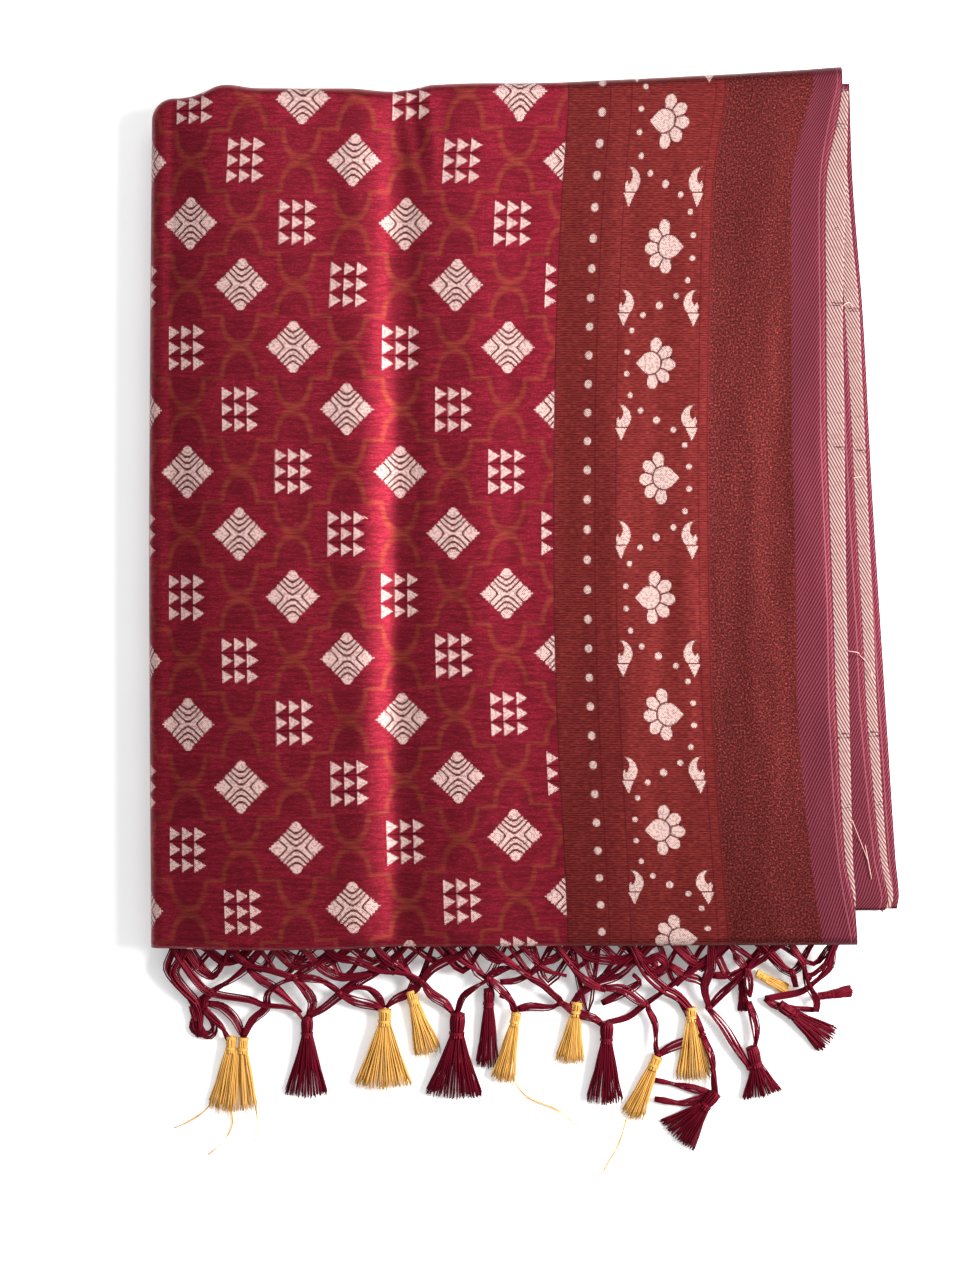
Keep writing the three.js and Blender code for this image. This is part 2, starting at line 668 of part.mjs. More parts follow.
// Where a bundle named in a table starts: a root on the strip or a knot of the net.
function placeOf(name) {
  if (name.startsWith("a")) {
    return new THREE.Vector3(ROOTS[Number(name.slice(1))], STRIP.front + 1.2, STRIP.roots);
  }
  const { x, y, z } = KNOTS.find((entry) => entry.name === name);
  return new THREE.Vector3(x, y, z);
}

function fringeStrip() {
  const face = (z) =>
    [STRIP.back, STRIP.front].reverse().map((y) =>
      [STRIP.left, STRIP.right].map((x) => new THREE.Vector3(x, y, z)),
    );
  return clothWall(face(STRIP.high), face(STRIP.low));
}

function fringeNet() {
  const pieces = [fringeStrip()];
  let index = 0;
  for (const { name, above } of KNOTS) {
    pieces.push(knot(placeOf(name)));
    for (const from of above) {
      pieces.push(bundle(placeOf(from), placeOf(name), index));
      index += 1;
    }
  }
  for (const tassel of TASSELS) {
    for (const from of tassel.above) {
      pieces.push(bundle(placeOf(from), headTop(tassel), index));
      index += 1;
    }
  }
  const cut = TASSELS.map((tassel) => toManifold(tasselHead(tassel, GAP)));
  return fromManifold(cut.reduce((net, head) => net.subtract(head), fuse(pieces)));
}

// ---------------------------------------------------------------- the whole sari
const sari = new THREE.Group();
sari.add(named("top_panel", "right_side", topPanel()));
for (const row of STRETCHES) sari.add(named(row.name, row.slot, stretch(row)));
sari.add(named("hidden_layers", "hidden", hiddenLayers()));
sari.add(named("fringe_net", "maroon", fringeNet()));
TASSELS.forEach((tassel, k) => {
  const name = `tassel_${String(k + 1).padStart(2, "0")}`;
  sari.add(named(name, tassel.thread, tasselBody(tassel)));
});

// The origin is the middle of the sari's box, on the surface that it lies on.
const box = new THREE.Box3().setFromObject(sari);
const middle = box.getCenter(new THREE.Vector3());
sari.position.set(-middle.x, -middle.y, -box.min.z);

export default sari;
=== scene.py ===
"""A banarasi sari folded flat: brocade panel over a layered pile, with a knotted, tasselled fringe."""

import math
import random

import bmesh
import bpy
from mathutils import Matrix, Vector, noise


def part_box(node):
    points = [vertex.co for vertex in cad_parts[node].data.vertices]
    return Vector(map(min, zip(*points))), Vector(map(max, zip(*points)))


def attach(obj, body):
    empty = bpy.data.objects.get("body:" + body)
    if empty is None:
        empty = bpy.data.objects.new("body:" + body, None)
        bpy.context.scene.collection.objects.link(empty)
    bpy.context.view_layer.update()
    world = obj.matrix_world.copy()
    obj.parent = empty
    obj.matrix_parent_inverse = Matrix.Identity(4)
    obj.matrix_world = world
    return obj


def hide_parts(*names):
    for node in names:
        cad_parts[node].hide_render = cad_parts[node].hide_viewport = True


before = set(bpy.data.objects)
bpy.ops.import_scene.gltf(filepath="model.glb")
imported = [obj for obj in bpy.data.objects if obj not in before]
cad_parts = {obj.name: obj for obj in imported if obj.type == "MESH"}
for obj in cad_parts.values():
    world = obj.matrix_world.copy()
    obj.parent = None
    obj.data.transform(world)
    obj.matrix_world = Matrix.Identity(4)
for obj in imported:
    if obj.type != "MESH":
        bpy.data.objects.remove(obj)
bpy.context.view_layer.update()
BODY = "root"

# ---------------------------------------------------------------- sizes, in millimetres
MM = 0.001
CLOTH = 0.6  # thickness of one stretch of cloth
PANEL_TOP = 22.2  # height of the top panel's upper face
ROLL_LEFT = 6.6  # radius of the roll over the left fold
ROLL_TOP = 5.1  # radius of the roll over the top fold
ROLL_CORNER = 9.0  # corner radius of the panel's outline
TUCK = 2.0  # how far the cloth runs back in under the roll

# The strip that the fringe grows from fixes the sari's place in the shared frame.
STRIP = {"left": -130.0, "right": 137.0, "back": -150.0, "front": -172.0, "low": 9.3, "high": 10.5}
NET_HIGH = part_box("fringe_net")[1]
ORIGIN = Vector((NET_HIGH.x - STRIP["right"] * MM, NET_HIGH.y - STRIP["back"] * MM, 0.0))

# Places across the flat cloth, counted from the middle of the panel towards the selvedge.
FIELD_END = 23.8
STRIPE_START = 92.0
STRIPE_END = 127.2
LIGHT_END = 138.6
CLOTH_EDGE = 141.2
BORDER_RULES = (24.0, 42.4, 51.8, 87.6, 91.4)

# Grain of the top panel: where lines of the weave lie across, at each height of the panel.
GRAIN_HEIGHTS = [-169.5, -137.5, -81.5, -33.5, 30.5, 74.5, 110.5, 136.1, 159.3, 176.5]
GRAIN = {
    "fold_column": (-124.0, [-124.8, -125.6, -125.4, -126, -125.6, -126, -124.4, -124, -122.8, -122]),
    "field_end": (FIELD_END, [27.2, 25.8, 22.8, 21.6, 21.6, 22.4, 23.8, 25.2, 27.0, 27.8]),
    "flower_axis": (69.7, [68.9, 67.2, 64.2, 62.6, 62.4, 63.3, 64.7, 66.4, 68.7, 69.6]),
    "stripe_end": (STRIPE_END, [129.2, 124.8, 119.6, 118.8, 117.2, 117, 116.8, 117.2, 122.4, 127.2]),
    "selvedge": (CLOTH_EDGE, [143.6, 138.3, 135, 134, 131.4, 131, 130.6, 131, 134.4, 138.4]),
}

# Outline of the top panel, as (along, edge) pairs.
SELVEDGE = [
    (-172.0, 143.6), (-155.5, 142.2), (-137.5, 138.6), (-81.5, 135.2), (-41.5, 133.8),
    (30.5, 131.4), (86.5, 130.9), (136.9, 131.2), (160.0, 135.6), (180.0, 138.4),
]
LEFT_FOLD = [(-173.0, -141.0), (-30.0, -141.8), (60.0, -141.5), (170.0, -140.6)]
LOWER_EDGE = [(-140.0, -173.6), (-75.0, -173.7), (-43.0, -172.7), (144.0, -171.9)]
TOP_FOLD = [
    (-140.0, 169.0), (-124.0, 169.6), (-111.0, 174.0), (-98.0, 172.6), (-62.0, 172.6),
    (-42.0, 171.8), (-24.0, 174.4), (26.0, 175.4), (104.0, 179.4), (140.0, 181.8),
]
PANEL_SPAN = (-131.0, 137.0)

# Soft creases that run the length of the panel: place, rise, half width.
CREASES = [
    (-148.0, -5.2, 22.0),
    (-96.0, 2.2, 42.0),
    (-57.0, 0.9, 9.0),
    (-40.0, -1.9, 7.2),
    (-10.0, 0.9, 15.0),
    (46.0, 0.6, 15.0),
    (92.0, -0.25, 14.0),
]
# How far the border's figures were beaten up out of step with the field: height, ease.
BORDER_EASE = [
    (-169.5, -3.7), (-125.9, 0.2), (-79.5, 1.3), (-32.7, 2.0), (15.3, 1.5), (61.3, 3.0),
    (107.9, 3.9), (158.5, 0.8), (176.5, 0.5),
]

# Right-hand edges of the stretches below the panel, as (along, edge) pairs.
SECOND_EDGE = [
    (-168.0, 140.6), (-156.0, 143.0), (-139.0, 142.0), (-70.0, 140.3), (-33.4, 139.4), (8.0, 138.9),
    (54.0, 138.3), (87.0, 137.9), (137.0, 139.4), (172.0, 140.2),
]
THIRD_EDGE = [
    (-159.8, 157.4), (-154.6, 158.6), (-138.7, 155.5), (-82.0, 150.1), (-41.4, 148.0), (8.8, 145.1),
    (31.6, 144.0), (55.0, 142.8), (89.0, 140.6), (120.0, 138.6), (174.0, 134.4),
]
FOURTH_EDGE = [
    (-159.4, 159.6), (-154.8, 161.0), (-138.9, 158.5), (-82.0, 154.6), (-41.4, 152.8), (9.0, 150.5),
    (31.8, 149.5), (55.0, 148.4), (89.0, 146.9), (113.0, 144.4), (176.0, 139.6),
]
FIFTH_EDGE = [
    (-159.6, 162.8), (-154.0, 163.7), (-139.1, 162.3), (-82.1, 158.6), (-41.4, 156.0), (9.0, 152.8),
    (31.9, 151.6), (55.0, 150.5), (88.0, 148.6), (140.3, 144.6), (178.4, 143.4),
]
BAND_WIDTH = 46.0


# ---------------------------------------------------------------- small tools
def lerp(a, b, t):
    return a + (b - a) * t


def read(table, value):
    """The second column of a table by its first, on a smooth curve through its rows."""
    if value <= table[0][0]:
        return table[0][1]
    if value >= table[-1][0]:
        return table[-1][1]
    k = next(i for i, row in enumerate(table) if row[0] > value) - 1

    def slope(i):
        before = table[max(i - 1, 0)]
        after = table[min(i + 1, len(table) - 1)]
        return (after[1] - before[1]) / (after[0] - before[0])

    a, b = table[k], table[k + 1]
    span = b[0] - a[0]
    t = (value - a[0]) / span
    rise = t * t * (3 - 2 * t)
    leave = t * (1 - t) * (1 - t) * span * slope(k)
    arrive = t * t * (t - 1) * span * slope(k + 1)
    return lerp(a[1], b[1], rise) + leave + arrive


def smooth(low, high, value):
    t = min(1.0, max(0.0, (value - low) / (high - low)))
    return t * t * (3 - 2 * t)


def place(x, y, z):
    """A point given in the sari's own millimetres, in the shared frame in metres."""
    return Vector((x * MM, y * MM, z * MM)) + ORIGIN


def ripple(x, y, z, reach):
    """Gentle unevenness between -1 and 1 that changes over `reach` millimetres."""
    return noise.noise(Vector((x, y, z)) / reach)


def mesh_object(name, bm, material):
    """A smooth piece at the origin, made from a finished bmesh."""
    mesh = bpy.data.meshes.new(name)
    bm.to_mesh(mesh)
    bm.free()
    for face in mesh.polygons:
        face.use_smooth = True
    piece = bpy.data.objects.new(name, mesh)
    bpy.context.scene.collection.objects.link(piece)
    mesh.materials.append(material)
    return piece


def woven_grid(name, columns, rows, shape, material):
    """A sheet of cloth: shape(s, t) gives each point's place, and its place in the flat cloth.

    The place in the cloth is given twice: for the weave, and with the figures' own easing.
    """
    bm = bmesh.new()
    bmesh.ops.create_grid(bm, x_segments=columns, y_segments=rows, size=1.0)
    cloth = bm.loops.layers.uv.new("cloth")
    figures = bm.loops.layers.uv.new("figures")
    flat = {}
    for vert in bm.verts:
        point, across, along, ease = shape((vert.co.x + 1) / 2, (vert.co.y + 1) / 2)
        vert.co = point
        flat[vert] = (across, along), (across, along + ease)
    for face in bm.faces:
        for loop in face.loops:
            loop[cloth].uv, loop[figures].uv = flat[loop.vert]
    return mesh_object(name, bm, material)


def thicken(piece, thickness):
    """Gives a sheet its wall, below the face that was laid out."""
    solid = piece.modifiers.new("cloth thickness", "SOLIDIFY")
    solid.thickness = thickness * MM
    solid.offset = -1.0
    solid.use_even_offset = False
    return piece


# ---------------------------------------------------------------- node wiring
class Tree:
    """Wires nodes of one material or group in plain steps."""

    def __init__(self, tree):
        self.tree = tree

    def node(self, kind, **settings):
        made = self.tree.nodes.new(kind)
        for key, value in settings.items():
            setattr(made, key, value)
        return made

    def feed(self, socket, value):
        if isinstance(value, bpy.types.NodeSocket):
            self.tree.links.new(value, socket)
        else:
            socket.default_value = value

    def math(self, operation, a, b=0.0):
        made = self.node("ShaderNodeMath", operation=operation)
        self.feed(made.inputs[0], a)
        self.feed(made.inputs[1], b)
        return made.outputs[0]

    def add(self, a, b):
        return self.math("ADD", a, b)

    def sub(self, a, b):
        return self.math("SUBTRACT", a, b)

    def mul(self, a, b):
        return self.math("MULTIPLY", a, b)

    def div(self, a, b):
        return self.math("DIVIDE", a, b)

    def size(self, a):
        return self.math("ABSOLUTE", a)

    def through(self, operation, masks):
        found = masks[0]
        for mask in masks[1:]:
            found = self.math(operation, found, mask)
        return found

    def both(self, *masks):
        return self.through("MINIMUM", masks)

    def either(self, *masks):
        return self.through("MAXIMUM", masks)

    def length(self, a, b):
        return self.math("SQRT", self.add(self.mul(a, a), self.mul(b, b)))

    def below(self, value, limit, soft=0.15):
        """1 where value is under the limit, 0 above it, with a soft edge."""
        made = self.node("ShaderNodeMapRange", interpolation_type="SMOOTHSTEP")
        self.feed(made.inputs["Value"], value)
        made.inputs["From Min"].default_value = limit - soft
        made.inputs["From Max"].default_value = limit + soft
        made.inputs["To Min"].default_value = 1.0
        made.inputs["To Max"].default_value = 0.0
        return made.outputs["Result"]

    def above(self, value, limit, soft=0.15):
        return self.sub(1.0, self.below(value, limit, soft))

    def within(self, value, low, high, soft=0.15):
        return self.both(self.above(value, low, soft), self.below(value, high, soft))

    def between(self, kind, factor, a, b):
        made = self.node("ShaderNodeMix", data_type=kind)
        for label, value in (("Factor", factor), ("A", a), ("B", b)):
            self.feed(made.inputs[label], value)
        return made.outputs["Result"]

    def mix(self, factor, a, b):
        """From colour a to colour b."""
        return self.between("RGBA", factor, a, b)

    def blend(self, factor, a, b):
        """From value a to value b."""
        return self.between("FLOAT", factor, a, b)

    def joined(self, x, y):
        made = self.node("ShaderNodeCombineXYZ")
        self.feed(made.inputs[0], x)
        self.feed(made.inputs[1], y)
        return made.outputs[0]

    def split(self, vector, parts=2):
        made = self.node("ShaderNodeSeparateXYZ")
        self.feed(made.inputs[0], vector)
        return made.outputs[:parts]

    def map(self, name):
        """The piece's own map of that name, in millimetres of cloth or shares of a strand."""
        return self.node("ShaderNodeUVMap", uv_map=name).outputs[0]

    def wave(self, operation, value, pitch):
        return self.math(operation, self.mul(value, 2 * math.pi / pitch))

    def speckle(self, x, y, grain_x, grain_y, detail=1.0):
        """Noise whose grains measure grain_x by grain_y millimetres."""
        made = self.node("ShaderNodeTexNoise")
        self.feed(made.inputs["Vector"], self.joined(self.div(x, grain_x), self.div(y, grain_y)))
        made.inputs["Scale"].default_value = 1.0
        made.inputs["Detail"].default_value = detail
        return made.outputs["Fac"]

    def repeat(self, value, pitch, start=0.0):
        """Distance from the middle of the nearest repeat, and that repeat's number."""
        steps = self.add(self.div(self.sub(value, start), pitch), 0.5)
        number = self.math("FLOOR", steps)
        offset = self.mul(self.sub(self.sub(steps, number), 0.5), pitch)
        return offset, number

    def use(self, group, **inputs):
        made = self.node("ShaderNodeGroup")
        made.node_tree = group
        for key, value in inputs.items():
            self.feed(made.inputs[key.replace("_", " ")], value)
        return made.outputs


def new_group(name, inputs, outputs):
    """An empty shader group: inputs are given as (name, kind), outputs are all plain values."""
    group = bpy.data.node_groups.new(name, "ShaderNodeTree")
    kinds = {"value": "NodeSocketFloat", "vector": "NodeSocketVector"}
    for label, kind in inputs:
        group.interface.new_socket(name=label, in_out="INPUT", socket_type=kinds[kind])
    for label in outputs:
        group.interface.new_socket(name=label, in_out="OUTPUT", socket_type=kinds["value"])
    tree = Tree(group)
    return group, tree, tree.node("NodeGroupInput"), tree.node("NodeGroupOutput")


# ---------------------------------------------------------------- woven figures
LATTICE = {"across": 42.88, "along": 49.8, "x": -124.0, "y": 117.3}
DIAMOND = {"half_width": 10.5, "half_height": 10.4, "cap": 1.95}
CHEVRONS = {"first": 4.5, "pitch": 2.45, "low": 3.4, "high": 10.6, "half_line": 0.50}
LOBE = {"level": 6.7, "half_line": 0.46}
ARROWS = {"pitch_x": 5.14, "pitch_y": 6.3, "length": 4.4, "height": 5.5}
ARROW_RULE = {"half_line": 0.22, "half_width": 7.2, "half_height": 4.0}
JAAL = {"half_width": 7.1, "half_height": 11.6, "half_line": 0.12, "hollow": 0.86, "ledge": (6.6, 14.8)}


def diamond_figure(tree, x, y):
    """A scalloped diamond with round-nosed chevrons above and below and a lobe at each side."""
    wide, high = DIAMOND["half_width"], DIAMOND["half_height"]
    first, pitch = CHEVRONS["first"], CHEVRONS["pitch"]
    ax, ay = tree.size(x), tree.size(y)
    # Each level runs round a blunt nose on the diamond's axis instead of meeting in a point.
    nose = tree.math("SQRT", tree.add(tree.mul(x, x), 3.6))
    level = tree.add(tree.sub(high, ay), tree.mul(tree.sub(nose, 1.9), 1.15))
    side_nose = tree.math("SQRT", tree.add(tree.mul(y, y), 0.3))
    side_level = tree.add(tree.sub(wide, ax), tree.sub(side_nose, 0.55))
    slant = tree.add(tree.div(ax, wide), tree.div(ay, high))
    wave = tree.wave("COSINE", tree.sub(level, first), pitch)
    inside = tree.both(
        tree.below(tree.add(slant, tree.mul(wave, 0.03)), 1.0, 0.025), tree.below(ay, high - 0.7, 0.1)
    )
    cap = tree.below(tree.length(x, tree.sub(ay, high - 2.0)), DIAMOND["cap"], 0.12)
    ring, _ = tree.repeat(level, pitch, first)
    chevrons = tree.both(
        tree.below(tree.size(ring), CHEVRONS["half_line"], 0.14),
        tree.within(level, CHEVRONS["low"], CHEVRONS["high"], 0.1),
    )
    beyond_lobe = tree.above(side_level, LOBE["level"], 0.1)
    lobe_line = tree.below(tree.size(tree.sub(side_level, LOBE["level"])), LOBE["half_line"], 0.14)
    lines = tree.either(tree.both(chevrons, beyond_lobe), lobe_line)
    whole = tree.either(inside, cap)
    return whole, tree.both(lines, whole)


def arrow_figure(tree, x, y):
    """Nine small triangles in rows of three that point to the selvedge."""
    tx, column = tree.repeat(x, ARROWS["pitch_x"])
    ty, row = tree.repeat(y, ARROWS["pitch_y"])
    three = 1.5  # rows and columns run from -1 to 1
    inside = tree.both(
        tree.below(tree.size(column), three, 0.01), tree.below(tree.size(row), three, 0.01)
    )
    from_base = tree.add(tx, ARROWS["length"] / 2)
    taper = tree.sub(1.0, tree.div(from_base, ARROWS["length"]))
    over = tree.sub(tree.size(ty), tree.mul(taper, ARROWS["height"] / 2))
    wedge = tree.both(tree.below(over, 0.0, 0.14), tree.above(from_base, 0.0, 0.1))
    rule = tree.both(
        tree.above(tree.size(ty), ARROWS["pitch_y"] / 2 - ARROW_RULE["half_line"], 0.1),
        tree.below(tree.size(x), ARROW_RULE["half_width"], 0.1),
        tree.below(tree.size(y), ARROW_RULE["half_height"], 0.1),
    )
    return tree.both(wedge, inside), rule


def field_group():
    """The pale diamonds and triangle blocks of the field, on a half-drop lattice."""
    group, tree, inputs, outputs = new_group(
        "field_figures", [("Cloth", "vector")], ["Pale", "Dark line"]
    )
    u, v = tree.split(inputs.outputs["Cloth"])
    pale, dark = [], []
    for drop in (0.0, 0.5):
        start_x = LATTICE["x"] + drop * LATTICE["across"]
        start_y = LATTICE["y"] - drop * LATTICE["along"]
        x, column = tree.repeat(u, LATTICE["across"], start_x)
        y, row = tree.repeat(v, LATTICE["along"], start_y)
        odd = tree.math("FLOORED_MODULO", tree.add(column, row), 2.0)
        even = tree.sub(1.0, odd)
        diamond, chevrons = diamond_figure(tree, x, y)
        arrows, rule = arrow_figure(tree, x, y)
        pale.append(tree.either(tree.both(diamond, even), tree.both(arrows, odd)))
        dark.append(tree.either(tree.both(chevrons, even), tree.both(rule, odd)))
    tree.feed(outputs.inputs["Pale"], tree.either(*pale))
    tree.feed(outputs.inputs["Dark line"], tree.either(*dark))
    return group


def jaal_group():
    """The rust trellis round the figures: an arch above and below each, joined by ledges."""
    group, tree, inputs, outputs = new_group(
        "jaal_trellis", [("Cloth", "vector")], ["Trellis", "Hollow"]
    )
    u, v = tree.split(inputs.outputs["Cloth"])
    x, _ = tree.repeat(u, LATTICE["across"], LATTICE["x"])
    y, _ = tree.repeat(v, LATTICE["along"], LATTICE["y"])
    x, y = tree.size(x), tree.size(y)
    step = LATTICE["along"] / 4
    upper = tree.above(y, step, 0.02)
    side = tree.blend(upper, tree.sub(LATTICE["across"] / 2, x), x)
    rise = tree.size(tree.sub(y, step))
    reach = tree.length(tree.div(side, JAAL["half_width"]), tree.div(rise, JAAL["half_height"]))
    arch = tree.below(tree.size(tree.sub(reach, 1.0)), JAAL["half_line"], 0.10)
    ledge = tree.both(tree.below(rise, 0.7, 0.4), tree.within(x, *JAAL["ledge"], 0.4))
    tree.feed(outputs.inputs["Trellis"], tree.either(arch, ledge))
    tree.feed(outputs.inputs["Hollow"], tree.below(reach, JAAL["hollow"], 0.06))
    return group


# Border figures, in millimetres from the middle of a flower, its point towards +x.
FLOWERS = {"x": 69.7, "y": 159.3, "pitch": 47.5}
BULB = {"x": 3.2, "radius": 4.5, "tip": 6.4}
PETALS = {
    "reach": 7.9, "long": 2.85, "wide": 2.5, "turn": math.radians(39), "first": math.radians(-4.5),
}
FLOWER_LINE = {"half_line": 0.36, "rim": 4.75, "spoke_end": 9.6}
# Dots between one flower and the next: x, y, radius.
TRAIL = [
    (0.0, 23.75, 1.5), (0.0, -23.75, 1.5), (7.2, 19.8, 1.15), (12.0, 13.4, 1.15),
    (13.8, 4.5, 1.15), (13.8, -4.5, 1.15), (12.0, -13.4, 1.15), (7.2, -19.8, 1.15),
]
DOTS = {"x": 38.7, "y": 162.4, "pitch": 47.5 / 4, "radius": 1.65}
LEAVES = {"left": 54.2, "right": 84.2, "below_middle": 3.2}


def leaf_figure(tree, x, y):
    """Half a leaf: a curved blade with a small lobe and, below a dark line, a short point."""
    outer = tree.below(tree.length(tree.add(x, 1.5), tree.sub(y, 4.2)), 5.4, 0.15)
    hollow = tree.above(tree.length(tree.add(x, 3.7), tree.sub(y, 6.2)), 4.2, 0.15)
    blade = tree.both(outer, hollow, tree.above(x, -2.2, 0.1))
    lobe = tree.below(
        tree.length(tree.div(tree.add(x, 1.75), 0.6), tree.div(tree.sub(y, 2.6), 1.7)), 1.0, 0.12
    )
    width = tree.mul(tree.add(y, 5.4), 0.47)
    point = tree.both(
        tree.below(tree.sub(tree.size(tree.add(x, 0.4)), width), 0.0, 0.12), tree.below(y, -0.25, 0.1)
    )
    return tree.either(tree.both(tree.either(blade, lobe), tree.above(y, 0.25, 0.1)), point)


def border_group():
    """Dots, flowers, half leaves and the winding trail of dots of the border."""
    group, tree, inputs, outputs = new_group(
        "border_figures", [("Cloth", "vector")], ["Pale", "Dark line"]
    )
    u, v = tree.split(inputs.outputs["Cloth"])
    dot_y, _ = tree.repeat(v, DOTS["pitch"], DOTS["y"])
    dots = tree.below(tree.length(tree.sub(u, DOTS["x"]), dot_y), DOTS["radius"], 0.25)
    y, number = tree.repeat(v, FLOWERS["pitch"], FLOWERS["y"])
    # Every other flower is mirrored.
    side = tree.sub(tree.mul(tree.math("FLOORED_MODULO", number, 2.0), 2.0), 1.0)
    x = tree.mul(tree.sub(u, FLOWERS["x"]), side)
    ahead = tree.sub(x, BULB["x"])
    reach = tree.length(ahead, y)
    bulb = tree.below(reach, BULB["radius"], 0.15)
    taper = tree.mul(tree.sub(BULB["tip"], ahead), 1.05)
    point = tree.both(
        tree.below(tree.sub(tree.size(y), taper), 0.0, 0.15), tree.above(ahead, 2.9, 0.1)
    )
    heading = tree.math("ARCTAN2", y, tree.mul(ahead, -1.0))
    turn, petal = tree.repeat(heading, PETALS["turn"], PETALS["first"])
    along = tree.div(tree.sub(reach, PETALS["reach"]), PETALS["long"])
    across = tree.div(tree.mul(turn, reach), PETALS["wide"])
    fan = tree.below(tree.size(petal), 2.5, 0.01)  # five petals, from -2 to 2
    root = tree.both(
        tree.below(reach, PETALS["reach"], 0.1), tree.below(tree.size(across), 0.9, 0.07)
    )
    petals = tree.both(tree.either(tree.below(tree.length(along, across), 1.0, 0.07), root), fan)
    from_spoke = tree.mul(tree.sub(PETALS["turn"] / 2, tree.size(turn)), reach)
    half_line = FLOWER_LINE["half_line"]
    spoke = tree.both(
        tree.below(from_spoke, half_line, 0.14),
        tree.below(reach, FLOWER_LINE["spoke_end"], 0.2),
        tree.above(reach, 4.7, 0.1),
    )
    rim = tree.below(tree.size(tree.sub(reach, FLOWER_LINE["rim"])), half_line, 0.14)
    outline = tree.both(tree.either(spoke, rim), fan)
    trail = [
        tree.below(tree.length(tree.sub(x, at_x), tree.sub(y, at_y)), radius, 0.2)
        for at_x, at_y, radius in TRAIL
    ]
    middle = FLOWERS["y"] - FLOWERS["pitch"] / 2 - LEAVES["below_middle"]
    leaf_y, _ = tree.repeat(v, FLOWERS["pitch"], middle)
    left = leaf_figure(tree, tree.sub(u, LEAVES["left"]), leaf_y)
    right = leaf_figure(tree, tree.sub(LEAVES["right"], u), leaf_y)
    tree.feed(outputs.inputs["Pale"], tree.either(dots, bulb, point, petals, left, right, *trail))
    tree.feed(outputs.inputs["Dark line"], outline)
    return group


def weave_group():
    """The ground's interlacing: a fine height and short flecks that run across."""
    group, tree, inputs, outputs = new_group(
        "ground_weave",
        [("Cloth", "vector"), ("Pick", "value"), ("End", "value")],
        ["Height", "Fleck", "Slub"],
    )
    u, v = tree.split(inputs.outputs["Cloth"])
    turn = 2 * math.pi
    pick = tree.math("SINE", tree.mul(tree.div(v, inputs.outputs["Pick"]), turn))
    end = tree.math("SINE", tree.mul(tree.div(u, inputs.outputs["End"]), turn))
    tree.feed(outputs.inputs["Height"], tree.add(tree.mul(tree.mul(pick, end), 0.5), 0.5))
    tree.feed(outputs.inputs["Fleck"], tree.speckle(u, v, 2.6, 0.42, 2.0))
    tree.feed(outputs.inputs["Slub"], tree.speckle(u, v, 9.0, 1.3, 2.0))
    return group


def twill_group():
    """Fine diagonal lines: 1 on a line, 0 between, leaning as Lean says."""
    group, tree, inputs, outputs = new_group(
        "twill_lines", [("Cloth", "vector"), ("Pitch", "value"), ("Lean", "value")], ["Line"]
    )
    u, v = tree.split(inputs.outputs["Cloth"])
    wander = tree.mul(tree.speckle(u, v, 6.0, 6.0), 0.5)
    slant = tree.add(tree.sub(v, tree.mul(u, inputs.outputs["Lean"])), wander)
    wave = tree.math("SINE", tree.mul(tree.div(slant, inputs.outputs["Pitch"]), 2 * math.pi))
    tree.feed(outputs.inputs["Line"], tree.add(tree.mul(wave, 0.5), 0.5))
    return group


# ---------------------------------------------------------------- finishes
def new_finish(name):
    """A new material, its wiring and its shader."""
    material = bpy.data.materials.new(name)
    material.use_nodes = True
    tree = Tree(material.node_tree)
    shader = material.node_tree.nodes["Principled BSDF"]
    return material, tree, shader


def bump(tree, shader, height, distance, strength):
    made = tree.node("ShaderNodeBump")
    made.inputs["Distance"].default_value = distance * MM
    made.inputs["Strength"].default_value = strength
    tree.feed(made.inputs["Height"], height)
    tree.feed(shader.inputs["Normal"], made.outputs["Normal"])


WOVEN_STEP = 0.5  # figures are woven in steps of this many millimetres
PICK_PITCH = 0.92  # from one zari pick of the border to the next
MAROON = (0.192, 0.0085, 0.0205, 1)
MAROON_DEEP = (0.060, 0.0026, 0.0058, 1)
ROSE = (0.39, 0.021, 0.045, 1)
RUST = (0.225, 0.052, 0.017, 1)
COPPER = (0.138, 0.014, 0.0125, 1)
COPPER_DARK = (0.055, 0.0035, 0.005, 1)
COPPER_LIGHT = (0.25, 0.036, 0.029, 1)
STRIPE = (0.108, 0.0140, 0.0130, 1)
STRIPE_DARK = (0.034, 0.0040, 0.0045, 1)
PALE = (0.60, 0.40, 0.37, 1)
PALE_BORDER = (0.47, 0.335, 0.305, 1)
PALE_DARK = (0.085, 0.022, 0.024, 1)
TWILL_LIGHT = (0.155, 0.036, 0.047, 1)
TWILL_DARK = (0.060, 0.003, 0.011, 1)
TWILL_END = (0.23, 0.062, 0.08, 1)
FLOAT_PALE = (0.40, 0.255, 0.235, 1)
FLOAT_DARK = (0.055, 0.012, 0.015, 1)
FLOAT_SLUB = (0.20, 0.055, 0.06, 1)
DASH_DARK = (0.05, 0.004, 0.010, 1)
EDGE_PALE = (0.55, 0.32, 0.28, 1)


